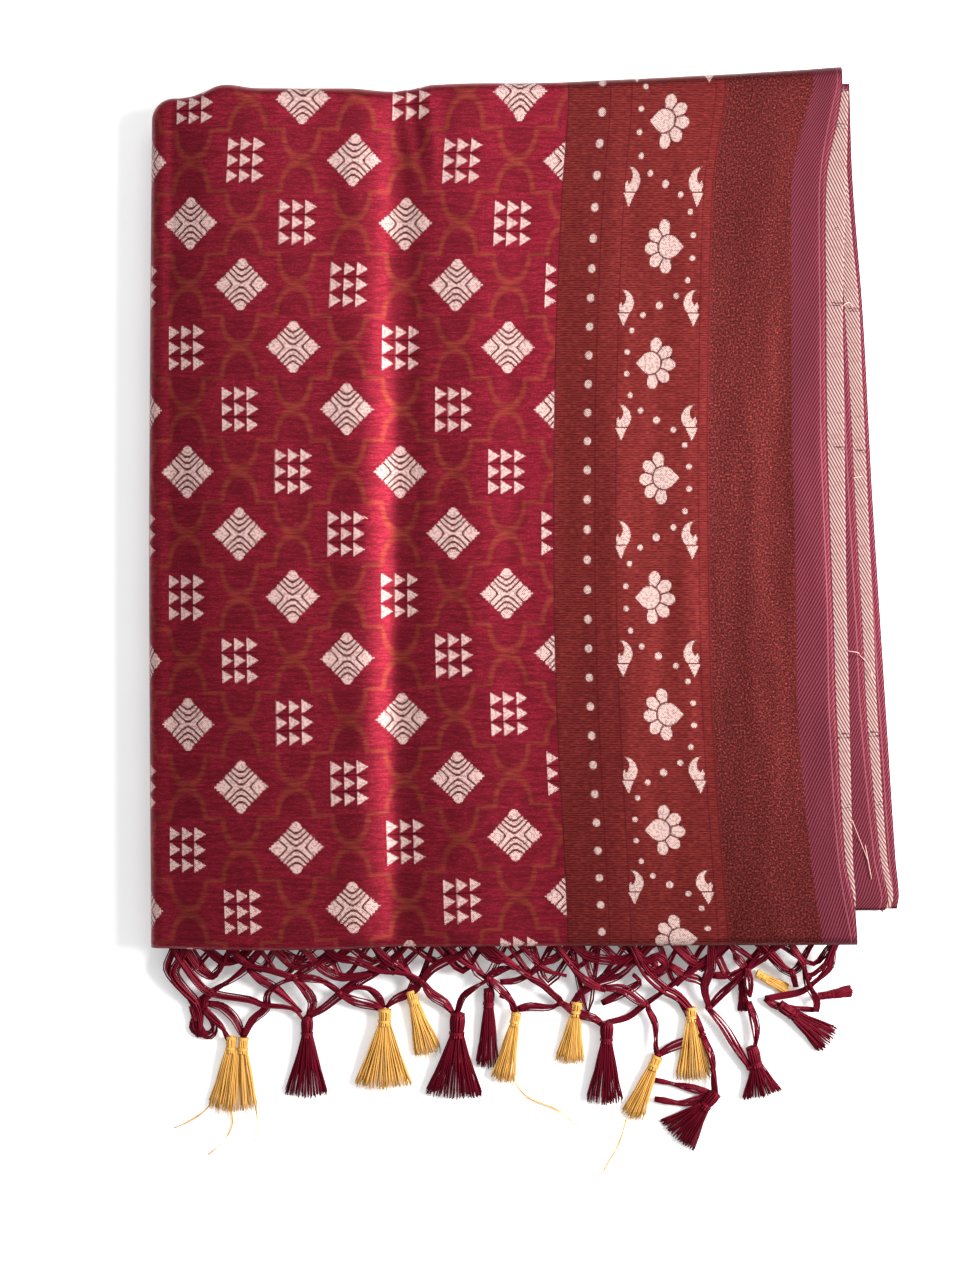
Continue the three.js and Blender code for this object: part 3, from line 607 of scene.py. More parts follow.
def right_side_finish(groups):
    """Right side of the brocade: field, border, plain zari stripe and twill selvedge."""
    material, tree, shader = new_finish("brocade_right_side")
    cloth = tree.map("cloth")
    eased_u, eased_v = tree.split(tree.map("figures"))
    eased = tree.joined(tree.math("SNAP", eased_u, WOVEN_STEP), tree.math("SNAP", eased_v, WOVEN_STEP))
    u, v = tree.split(cloth)
    weave = tree.use(groups["weave"], Cloth=cloth, Pick=0.55, End=0.5)
    field = tree.use(groups["field"], Cloth=eased)
    jaal = tree.use(groups["jaal"], Cloth=eased)
    border = tree.use(groups["border"], Cloth=eased)
    twill = tree.use(groups["twill"], Cloth=cloth, Pitch=2.3, Lean=1.9)
    fine = tree.use(groups["twill"], Cloth=cloth, Pitch=0.70, Lean=-0.8)
    in_field = tree.below(u, FIELD_END, 0.25)
    in_selvedge = tree.above(u, STRIPE_END, 0.3)
    in_stripe = tree.within(u, STRIPE_START, STRIPE_END, 0.3)

    fleck = tree.above(weave["Fleck"], 0.54, 0.10)
    deep = tree.above(weave["Slub"], 0.52, 0.10)
    patchy = tree.above(tree.speckle(u, v, 16.0, 9.0, 3.0), 0.5, 0.2)
    ground = tree.mix(tree.mul(fleck, 0.5), MAROON, ROSE)
    ground = tree.mix(tree.mul(deep, 0.42), ground, MAROON_DEEP)
    grains = tree.speckle(u, v, 0.75, 0.75, 1.0)
    ground = tree.mix(tree.mul(tree.above(grains, 0.5, 0.10), 0.34), ground, MAROON_DEEP)
    ground = tree.mix(tree.mul(patchy, 0.22), ground, MAROON_DEEP)
    picks = tree.above(tree.wave("SINE", v, PICK_PITCH), -0.1, 0.6)
    floats = tree.above(tree.speckle(u, v, 5.0, 0.5, 2.0), 0.46, 0.12)
    rust = tree.mix(tree.mul(deep, 0.4), RUST, COPPER_DARK)
    trellis = tree.both(jaal["Trellis"], in_field)
    hollow = tree.both(jaal["Hollow"], in_field)
    ground = tree.mix(tree.mul(hollow, 0.22), ground, MAROON_DEEP)
    ground = tree.mix(tree.mul(trellis, tree.blend(floats, 0.14, 0.52)), ground, rust)

    zari = tree.mix(tree.mul(picks, 0.85), COPPER_DARK, COPPER)
    zari = tree.mix(tree.mul(fleck, 0.4), zari, COPPER_LIGHT)
    zari = tree.mix(tree.mul(deep, 0.3), zari, COPPER_DARK)
    colour = tree.mix(in_field, zari, ground)
    speckled = tree.mix(tree.above(grains, 0.5, 0.10), STRIPE_DARK, STRIPE)
    speckled = tree.mix(tree.above(grains, 0.68, 0.05), speckled, COPPER_LIGHT)
    colour = tree.mix(tree.mul(in_stripe, 0.95), colour, speckled)
    line = tree.above(twill["Line"], 0.68, 0.2)
    selvedge = tree.mix(tree.mul(line, 0.8), TWILL_DARK, TWILL_LIGHT)
    colour = tree.mix(in_selvedge, colour, selvedge)

    rules = [tree.below(tree.size(tree.sub(u, at)), 0.3, 0.2) for at in BORDER_RULES]
    colour = tree.mix(tree.mul(tree.either(*rules), 0.6), colour, MAROON_DEEP)
    light_end = tree.below(tree.size(tree.sub(u, LIGHT_END)), 0.2, 0.15)
    colour = tree.mix(tree.mul(light_end, 0.7), colour, TWILL_END)

    pale = tree.either(tree.both(field["Pale"], in_field), border["Pale"])
    dark = tree.either(tree.both(field["Dark line"], in_field), border["Dark line"])
    worn = tree.above(tree.speckle(u, v, 1.1, 0.9, 1.0), 0.53, 0.06)
    binding = tree.mul(tree.above(fine["Line"], 0.5, 0.35), tree.blend(worn, 0.22, 1.0))
    thread = tree.mix(binding, tree.mix(in_field, PALE_BORDER, PALE), PALE_DARK)
    colour = tree.mix(pale, colour, thread)
    colour = tree.mix(tree.mul(dark, 0.95), colour, MAROON_DEEP)
    tree.feed(shader.inputs["Base Color"], colour)
    tree.feed(shader.inputs["Roughness"], tree.blend(tree.either(pale, in_selvedge), 0.36, 0.46))
    silky = tree.blend(in_selvedge, 0.72, 0.60)
    tree.feed(shader.inputs["Metallic"], tree.blend(pale, silky, 0.5))
    shader.inputs["Specular IOR Level"].default_value = 0.15
    raised = tree.add(tree.mul(weave["Height"], 0.5), tree.mul(weave["Slub"], 0.4))
    bump(tree, shader, raised, 0.12, 0.6)
    return material


def wrong_side_finish(groups):
    """Wrong side of the selvedge: pale floats crossed by dark diagonal twill."""
    material, tree, shader = new_finish("brocade_wrong_side")
    cloth = tree.map("cloth")
    u, v = tree.split(cloth)
    twill = tree.use(groups["twill"], Cloth=cloth, Pitch=2.4, Lean=-1.9)
    weave = tree.use(groups["weave"], Cloth=cloth, Pick=0.5, End=0.5)
    line = tree.above(twill["Line"], 0.58, 0.16)
    colour = tree.mix(tree.mul(line, 0.92), FLOAT_PALE, FLOAT_DARK)
    slub = tree.above(weave["Slub"], 0.58, 0.1)
    colour = tree.mix(tree.mul(slub, 0.3), colour, FLOAT_SLUB)
    dash_y, _ = tree.repeat(tree.add(v, tree.mul(weave["Slub"], 9.0)), 14.5, 3.0)
    few = tree.above(tree.speckle(u, v, 30.0, 11.0, 0.0), 0.52, 0.03)
    outermost = tree.above(u, CLOTH_EDGE - 5.0, 0.3)
    dash = tree.both(tree.below(tree.size(dash_y), 0.42, 0.15), few, outermost)
    colour = tree.mix(tree.mul(dash, 0.9), colour, DASH_DARK)
    tree.feed(shader.inputs["Base Color"], colour)
    tree.feed(shader.inputs["Roughness"], tree.blend(line, 0.6, 0.7))
    shader.inputs["Specular IOR Level"].default_value = 0.2
    bump(tree, shader, tree.add(twill["Line"], weave["Height"]), 0.10, 0.5)
    return material


def layer_edge_finish(groups):
    """The hidden layers: maroon cloth with pale threads showing at folded and cut edges."""
    material, tree, shader = new_finish("layer_edges")
    x, y, z = tree.split(tree.node("ShaderNodeTexCoord").outputs["Object"], 3)
    height = tree.mul(z, 1 / MM)
    along = tree.mul(tree.add(x, y), 1 / MM)
    weave = tree.use(groups["weave"], Cloth=tree.joined(along, height), Pick=0.4, End=0.5)
    streak = tree.above(tree.speckle(along, height, 14.0, 0.35, 2.0), 0.56, 0.06)
    colour = tree.mix(tree.above(weave["Fleck"], 0.5, 0.1), MAROON_DEEP, MAROON)
    colour = tree.mix(tree.mul(streak, 0.6), colour, EDGE_PALE)
    tree.feed(shader.inputs["Base Color"], colour)
    tree.feed(shader.inputs["Roughness"], tree.blend(streak, 0.6, 0.7))
    shader.inputs["Sheen Weight"].default_value = 0.2
    bump(tree, shader, weave["Fleck"], 0.15, 0.6)
    return material


def thread_group():
    """Colour change from thread to thread and along each, from the strand map."""
    group, tree, inputs, outputs = new_group(
        "thread_tone", [("Strand", "vector")], ["Tone", "Twist"]
    )
    across, along = tree.split(inputs.outputs["Strand"])
    tree.feed(outputs.inputs["Tone"], tree.speckle(tree.mul(across, 37.0), along, 1.0, 4.0, 2.0))
    slant = tree.add(tree.mul(along, 5.0), tree.mul(across, 9.0))
    tree.feed(outputs.inputs["Twist"], tree.add(tree.mul(tree.math("SINE", slant), 0.5), 0.5))
    return group


def thread_finish(name, groups, dark, light, end, binding, silk):
    """Silky loose thread: cut ends fade to `end`, and wound bands take the binding colour."""
    material, tree, shader = new_finish(name)
    strand = tree.map("cloth")
    tone = tree.use(groups["thread"], Strand=strand)
    tag, along = tree.split(strand)
    mixed = tree.add(tree.mul(tag, 0.75), tree.mul(tone["Tone"], 0.5))
    # Strands take dark or light at random; for the maroon and gold threads these are the shaded and
    # highlit look of one thread, so this is painted shade and painted highlight over a real change in
    # tone.
    colour = tree.mix(tree.above(mixed, 0.60, 0.26), dark, light)
    colour = tree.mix(tree.mul(tree.above(along, 0.86, 0.22), 0.85), colour, end)
    colour = tree.mix(tree.below(along, -0.5, 0.1), colour, binding)
    tree.feed(shader.inputs["Base Color"], colour)
    tree.feed(shader.inputs["Roughness"], tree.blend(tone["Twist"], 0.34, 0.50))
    shader.inputs["Metallic"].default_value = silk
    shader.inputs["Specular IOR Level"].default_value = 0.12
    bump(tree, shader, tone["Twist"], 0.05, 0.4)
    return material


def floor_finish():
    """Pale paper with a faint grain."""
    material, tree, shader = new_finish("plain_paper")
    x, y = tree.split(tree.node("ShaderNodeTexCoord").outputs["Object"])
    grain = tree.speckle(x, y, 4.0 * MM, 4.0 * MM, 3.0)
    paper = tree.mix(grain, (0.86, 0.86, 0.86, 1), (0.90, 0.90, 0.90, 1))
    glow = tree.mix(grain, (0.97, 0.97, 0.97, 1), (1.0, 1.0, 1.0, 1))
    tree.feed(shader.inputs["Base Color"], paper)
    tree.feed(shader.inputs["Roughness"], tree.blend(grain, 0.85, 0.95))
    tree.feed(shader.inputs["Emission Color"], glow)
    shader.inputs["Emission Strength"].default_value = 0.22
    return material


GROUPS = {
    "field": field_group(),
    "jaal": jaal_group(),
    "border": border_group(),
    "weave": weave_group(),
    "twill": twill_group(),
    "thread": thread_group(),
}
RIGHT_SIDE = right_side_finish(GROUPS)
WRONG_SIDE = wrong_side_finish(GROUPS)
LAYER_EDGES = layer_edge_finish(GROUPS)
# The dark and light colours of the maroon and gold threads are their shaded and highlit look: painted
# shade and painted highlight, scattered at random over strands that also differ in tone.
MAROON_THREAD = thread_finish(
    "maroon_thread", GROUPS, (0.13, 0.003, 0.013, 1), (0.96, 0.090, 0.20, 1), (0.90, 0.080, 0.18, 1),
    (0.16, 0.002, 0.016, 1), 0.4,
)
GOLD_THREAD = thread_finish(
    "gold_thread", GROUPS, (0.70, 0.37, 0.090, 1), (1.0, 0.94, 0.66, 1), (1.0, 0.97, 0.88, 1),
    (0.26, 0.02, 0.014, 1), 0.15,
)
PALE_THREAD = thread_finish(
    "pale_thread", GROUPS, (0.70, 0.42, 0.36, 1), (0.85, 0.66, 0.56, 1), (0.85, 0.66, 0.56, 1),
    (0.70, 0.42, 0.36, 1), 0.1,
)


# ---------------------------------------------------------------- top panel
def grain_across(x, y):
    """Where a point of the laid panel lies across the flat cloth."""
    lines = []
    for flat, row in GRAIN.values():
        lines.append((read(list(zip(GRAIN_HEIGHTS, row)), y), flat))
    if x <= lines[0][0]:
        return lines[0][1] + (x - lines[0][0])
    for (left, flat_left), (right, flat_right) in zip(lines, lines[1:]):
        if x <= right:
            return lerp(flat_left, flat_right, (x - left) / (right - left))
    return lines[-1][1] + (x - lines[-1][0])


def figure_ease(x, y, flat_x):
    """How far the figures lie off a strictly even repeat, along the cloth."""
    share = min(1.0, max(0.0, (x - LATTICE["x"]) / 132.0))
    top = smooth(150.0, 168.0, y) * lerp(2.2, -3.3, share)
    low = smooth(0.0, 1.0, (20.0 - y) / 150.0) * (2.2 - 6.1 * share**1.6)
    return lerp(top + low, read(BORDER_EASE, y), smooth(24.0, 36.0, flat_x))


def crease_height(x):
    """The long soft ridges and valleys, added up."""
    return sum(rise * math.exp(-(((x - at) / half) ** 2)) for at, rise, half in CREASES)


# Short puckers and dents: x, y, length along, half width, depth, lean.
PUCKERS = [
    (-38.0, 158.0, 16.0, 2.2, 0.55, -0.10),
    (-33.0, 150.0, 20.0, 2.0, -0.50, -0.12),
    (-27.0, 156.0, 15.0, 2.0, 0.45, -0.06),
    (-22.0, 146.0, 18.0, 2.6, -0.35, 0.04),
    (-40.0, 96.0, 34.0, 3.2, 0.35, 0.03),
    (-34.0, 20.0, 46.0, 3.0, -0.30, -0.02),
    (-38.0, -70.0, 40.0, 3.4, 0.30, 0.02),
    (-31.0, -130.0, 30.0, 3.0, -0.30, 0.03),
    (14.0, 60.0, 60.0, 6.0, 0.25, 0.01),
    (78.0, -40.0, 70.0, 8.0, 0.25, 0.02),
    (112.0, 30.0, 80.0, 7.0, -0.30, 0.0),
    (-118.0, -20.0, 90.0, 8.0, 0.30, 0.01),
    (-66.0, -120.0, 40.0, 6.0, -0.25, -0.03),
    (52.0, 130.0, 40.0, 6.0, -0.25, 0.02),
]


def fine_relief(x, y):
    """The shallow unevenness of limp cloth, on top of the long creases."""
    total = 0.0
    for at_x, at_y, reach, half, depth, lean in PUCKERS:
        dy = (y - at_y) / reach
        dx = (x - at_x - lean * (y - at_y)) / half
        total += depth * math.exp(-dx * dx - dy * dy)
    total += 0.30 * noise.noise(Vector((x / 22.0, y / 90.0, 1.0)))
    total += 0.12 * noise.noise(Vector((x / 7.0, y / 26.0, 4.0)))
    return total


def roll_at(progress, radius):
    """Out, down and turn of the roll, from 0 at its flat start to 1 at the tucked end."""
    flat = ROLL_CORNER - radius
    travel = progress * (flat + math.pi * radius + TUCK)
    if travel <= flat:
        return travel, 0.0, 0.0, travel
    turn = (travel - flat) / radius
    if turn <= math.pi:
        return flat + radius * math.sin(turn), radius * (1 - math.cos(turn)), turn, travel
    return flat - (travel - flat - math.pi * radius), 2 * radius, math.pi, travel


ROLL_SHARE = 0.11  # share of the grid's columns and rows that make the rolls
LOWER_FOLD_REACH = 2.4  # the crisp lower fold bends down over this width
SELVEDGE_REACH = 3.0  # the selvedge droops over this width


def panel_shape(s, t):
    """The panel lies flat on the pile and rolls over it at the left and the top."""
    left = max(0.0, 1 - s / ROLL_SHARE)
    top = max(0.0, (t - (1 - ROLL_SHARE)) / ROLL_SHARE)
    across = max(0.0, (s - ROLL_SHARE) / (1 - ROLL_SHARE))
    along = min(1.0, t / (1 - ROLL_SHARE))
    nominal = lerp(PANEL_SPAN[0], PANEL_SPAN[1], across)
    y = lerp(read(LOWER_EDGE, nominal), read(TOP_FOLD, nominal) - ROLL_CORNER, along)
    x = lerp(read(LEFT_FOLD, y) + ROLL_CORNER, read(SELVEDGE, y), across)
    flat_x, flat_y = grain_across(x, y), y
    out = down = turn = heading = 0.0
    if left > 0 or top > 0:
        ring = max(left, top)
        heading = math.pi / 4 * (top / left if left >= top else 2 - left / top)
        radius = lerp(ROLL_LEFT, ROLL_TOP, heading / (math.pi / 2))
        out, down, turn, _ = roll_at(ring, radius)
        flat_x -= roll_at(left, ROLL_LEFT)[3]
        flat_y += roll_at(top, ROLL_TOP)[3]
    soft = max(0.0, math.cos(turn))
    rise = crease_height(x) * soft + fine_relief(x, y) * (0.35 + 0.65 * soft)
    edge = 1 - smooth(0.0, LOWER_FOLD_REACH, y - read(LOWER_EDGE, nominal))
    rise -= 1.1 * edge * edge * soft
    selvedge = 1 - smooth(0.0, SELVEDGE_REACH, read(SELVEDGE, y) - x)
    rise -= (0.22 + 0.2 * ripple(x, y, 2.0, 17.0)) * selvedge * soft
    away = Vector((-math.cos(heading), math.sin(heading)))
    px = x + away.x * out
    py = y + away.y * out
    pz = PANEL_TOP - down + rise
    if turn > 0:
        swell = rise * math.sin(turn) * 0.6
        px += away.x * swell
        py += away.y * swell
        pz = PANEL_TOP - down + rise * soft
    return place(px, py, pz), flat_x, flat_y, figure_ease(x, y, flat_x)


def make_top_panel():
    panel = woven_grid("panel_cloth", 200, 230, panel_shape, RIGHT_SIDE)
    return thicken(panel, CLOTH)


# ---------------------------------------------------------------- lower stretches
SEAT = 0.85  # the upper face of a stretch above the height it rests on
# Strip, node, slot, right-hand edge, resting height, finish, seed of its waviness.
STRETCHES = [
    ("second_strip", "second_stretch", "wrong_side", SECOND_EDGE, 19.2, WRONG_SIDE, 1.0),
    ("third_strip", "third_stretch", "right_side", THIRD_EDGE, 7.5, RIGHT_SIDE, 2.0),
    ("fourth_strip", "fourth_stretch", "wrong_side", FOURTH_EDGE, 6.0, WRONG_SIDE, 3.0),
    ("fifth_strip", "fifth_stretch", "right_side", FIFTH_EDGE, 4.5, RIGHT_SIDE, 4.0),
]


def make_stretch(name, edge, height, material, seed):
    """A stretch that shows as a strip along its selvedge; the rest runs in under the pile."""

    def shape(s, t):
        y = lerp(edge[0][0], edge[-1][0], t)
        right = read(edge, y)
        x = lerp(right - BAND_WIDTH, right, s)
        wave = 0.35 * ripple(x, y, seed, 31.0) * smooth(0.6, 1.0, s)
        curl = -0.12 * smooth(0.93, 1.0, s)
        flat_x = CLOTH_EDGE - (right - x)
        return place(x, y, height + SEAT + wave * 0.5 + curl), flat_x, y, 0.0

    return thicken(woven_grid(name, 46, 260, shape, material), CLOTH)


# ---------------------------------------------------------------- hidden layers
TURNED_LEFT = [(-168.0, -117.0), (176.0, -134.0)]
TURNED_BOTTOM = [(-117.0, -168.0), (160.0, -159.0)]
TURNED_TOP = [(-134.0, 166.0), (143.0, 180.0)]
OUTLINES = {
    "upper": {"left": LEFT_FOLD, "right": SELVEDGE, "bottom": LOWER_EDGE, "top": TOP_FOLD},
    "lower": {"left": TURNED_LEFT, "right": FIFTH_EDGE, "bottom": TURNED_BOTTOM, "top": TURNED_TOP},
}
# Part of the pile, heights, and how far each side is set in from its outline.
LAYERS = [
    ("lower", 0.0, 1.3, 3.0, 5.0, 3.0, 3.5),
    ("lower", 1.6, 2.7, 1.0, 3.2, 1.0, 1.6),
    ("lower", 3.0, 4.2, 2.2, 4.2, 2.0, 2.4),
    ("lower", 4.5, 5.7, 0.6, 58.0, 1.2, 1.0),
    ("lower", 6.0, 7.2, 1.8, 58.0, 2.6, 2.2),
    ("lower", 7.5, 8.7, 0.8, 58.0, 1.4, 1.2),
    ("upper", 9.0, 10.8, 10.5, 7.0, 27.0, 3.0),
    ("upper", 11.1, 12.6, 5.2, 3.0, 3.4, 10.5),
    ("upper", 12.9, 14.1, 3.2, 4.2, 5.0, 10.5),
    ("upper", 14.4, 15.8, 2.6, 2.6, 3.0, 6.0),
    ("upper", 16.1, 17.4, 2.8, 3.8, 4.4, 4.8),
    ("upper", 17.7, 18.9, 3.8, 2.8, 3.2, 5.2),
]
SIDE_STEPS = 60
HALVES = 2  # each row of the table is made as this many leaves
LEAF_GAP = 0.04  # between the leaves of one row
ROW_GAP = 0.28  # from one row's top to the next row
PILE_CENTRE = Vector((5.0, 0.0))


def layer_outline(part, insets, seed):
    """Points round one layer, a little wavy, with rounded corners."""
    sides = OUTLINES[part]
    left, right, bottom, top = insets
    low = read(sides["bottom"], 0.0) + bottom
    high = read(sides["top"], 0.0) - top
    points = []
    for k in range(4 * SIDE_STEPS):
        side, step = divmod(k, SIDE_STEPS)
        t = step / SIDE_STEPS
        if side == 0:
            x = lerp(read(sides["left"], low) + left, read(sides["right"], low) - right, t)
            y = read(sides["bottom"], x) + bottom
        elif side == 1:
            y = lerp(low, high, t)
            x = read(sides["right"], y) - right
        elif side == 2:
            x = lerp(read(sides["right"], high) - right, read(sides["left"], high) + left, t)
            y = read(sides["top"], x) - top
        else:
            y = lerp(high, low, t)
            x = read(sides["left"], y) + left
        nearest = min(t, 1 - t)
        pull = 1.6 * max(0.0, 1 - nearest * SIDE_STEPS / 2.5)
        wave = 0.55 * ripple(x, y, seed * 3.1, 23.0)
        inward = (PILE_CENTRE - Vector((x, y))).normalized()
        points.append(Vector((x, y)) + inward * (pull + 0.5 + wave))
    return points


def add_layer(bm, outline, low, high):
    """One closed leaf of cloth with a rounded rim."""
    ring = bmesh.ops.create_circle(bm, cap_ends=True, segments=len(outline), radius=1.0)["verts"]
    for vert, point in zip(ring, outline):
        vert.co = place(point.x, point.y, low)
    base = next(face for face in ring[0].link_faces)
    up = bmesh.ops.extrude_face_region(bm, geom=[base])["geom"]
    lifted = [item for item in up if isinstance(item, bmesh.types.BMVert)]
    bmesh.ops.translate(bm, verts=lifted, vec=Vector((0, 0, (high - low) * MM)))
    rim = set(ring) | set(lifted)
    edges = {edge for vert in rim for edge in vert.link_edges}
    level = [edge for edge in edges if abs(edge.verts[0].co.z - edge.verts[1].co.z) < 1e-7]
    bmesh.ops.bevel(
        bm, geom=level, offset=(high - low) * 0.42 * MM, offset_type="OFFSET", segments=2,
        profile=0.5, affect="EDGES", material=-1,
    )


def make_hidden_layers():
    """The pile of leaves under the panel, each a little out of line with the next."""
    rng = random.Random(7)
    bm = bmesh.new()
    for number, (part, low, high, left, right, bottom, top) in enumerate(LAYERS):
        top_of_row = high + ROW_GAP
        for half in range(HALVES):
            insets = [inset + rng.uniform(0.0, 0.9) for inset in (left, right, bottom, top)]
            if half == 0 and number == 0:
                insets = [left, right, bottom, top]
            outline = layer_outline(part, insets, number * HALVES + half)
            z_low = lerp(low, top_of_row, half / HALVES)
            z_high = lerp(low, top_of_row, (half + 1) / HALVES) - LEAF_GAP
            add_layer(bm, outline, z_low, z_high)
    bmesh.ops.recalc_face_normals(bm, faces=bm.faces)
    return mesh_object("pile_layers", bm, LAYER_EDGES)


# ---------------------------------------------------------------- fringe
ROOT_HEIGHT = 9.9  # where the net leaves the narrow strip
ROOT_LINE = -171.4  # the strip's front, where every bundle starts
HANG_LINE = -176.0  # from here the net slopes down to the floor
NEAR_CLOTH = -181.0  # a bundle that ends above this line runs on in under the cloth
LEAST_HEIGHT = 0.05  # no thread goes lower than this above the floor
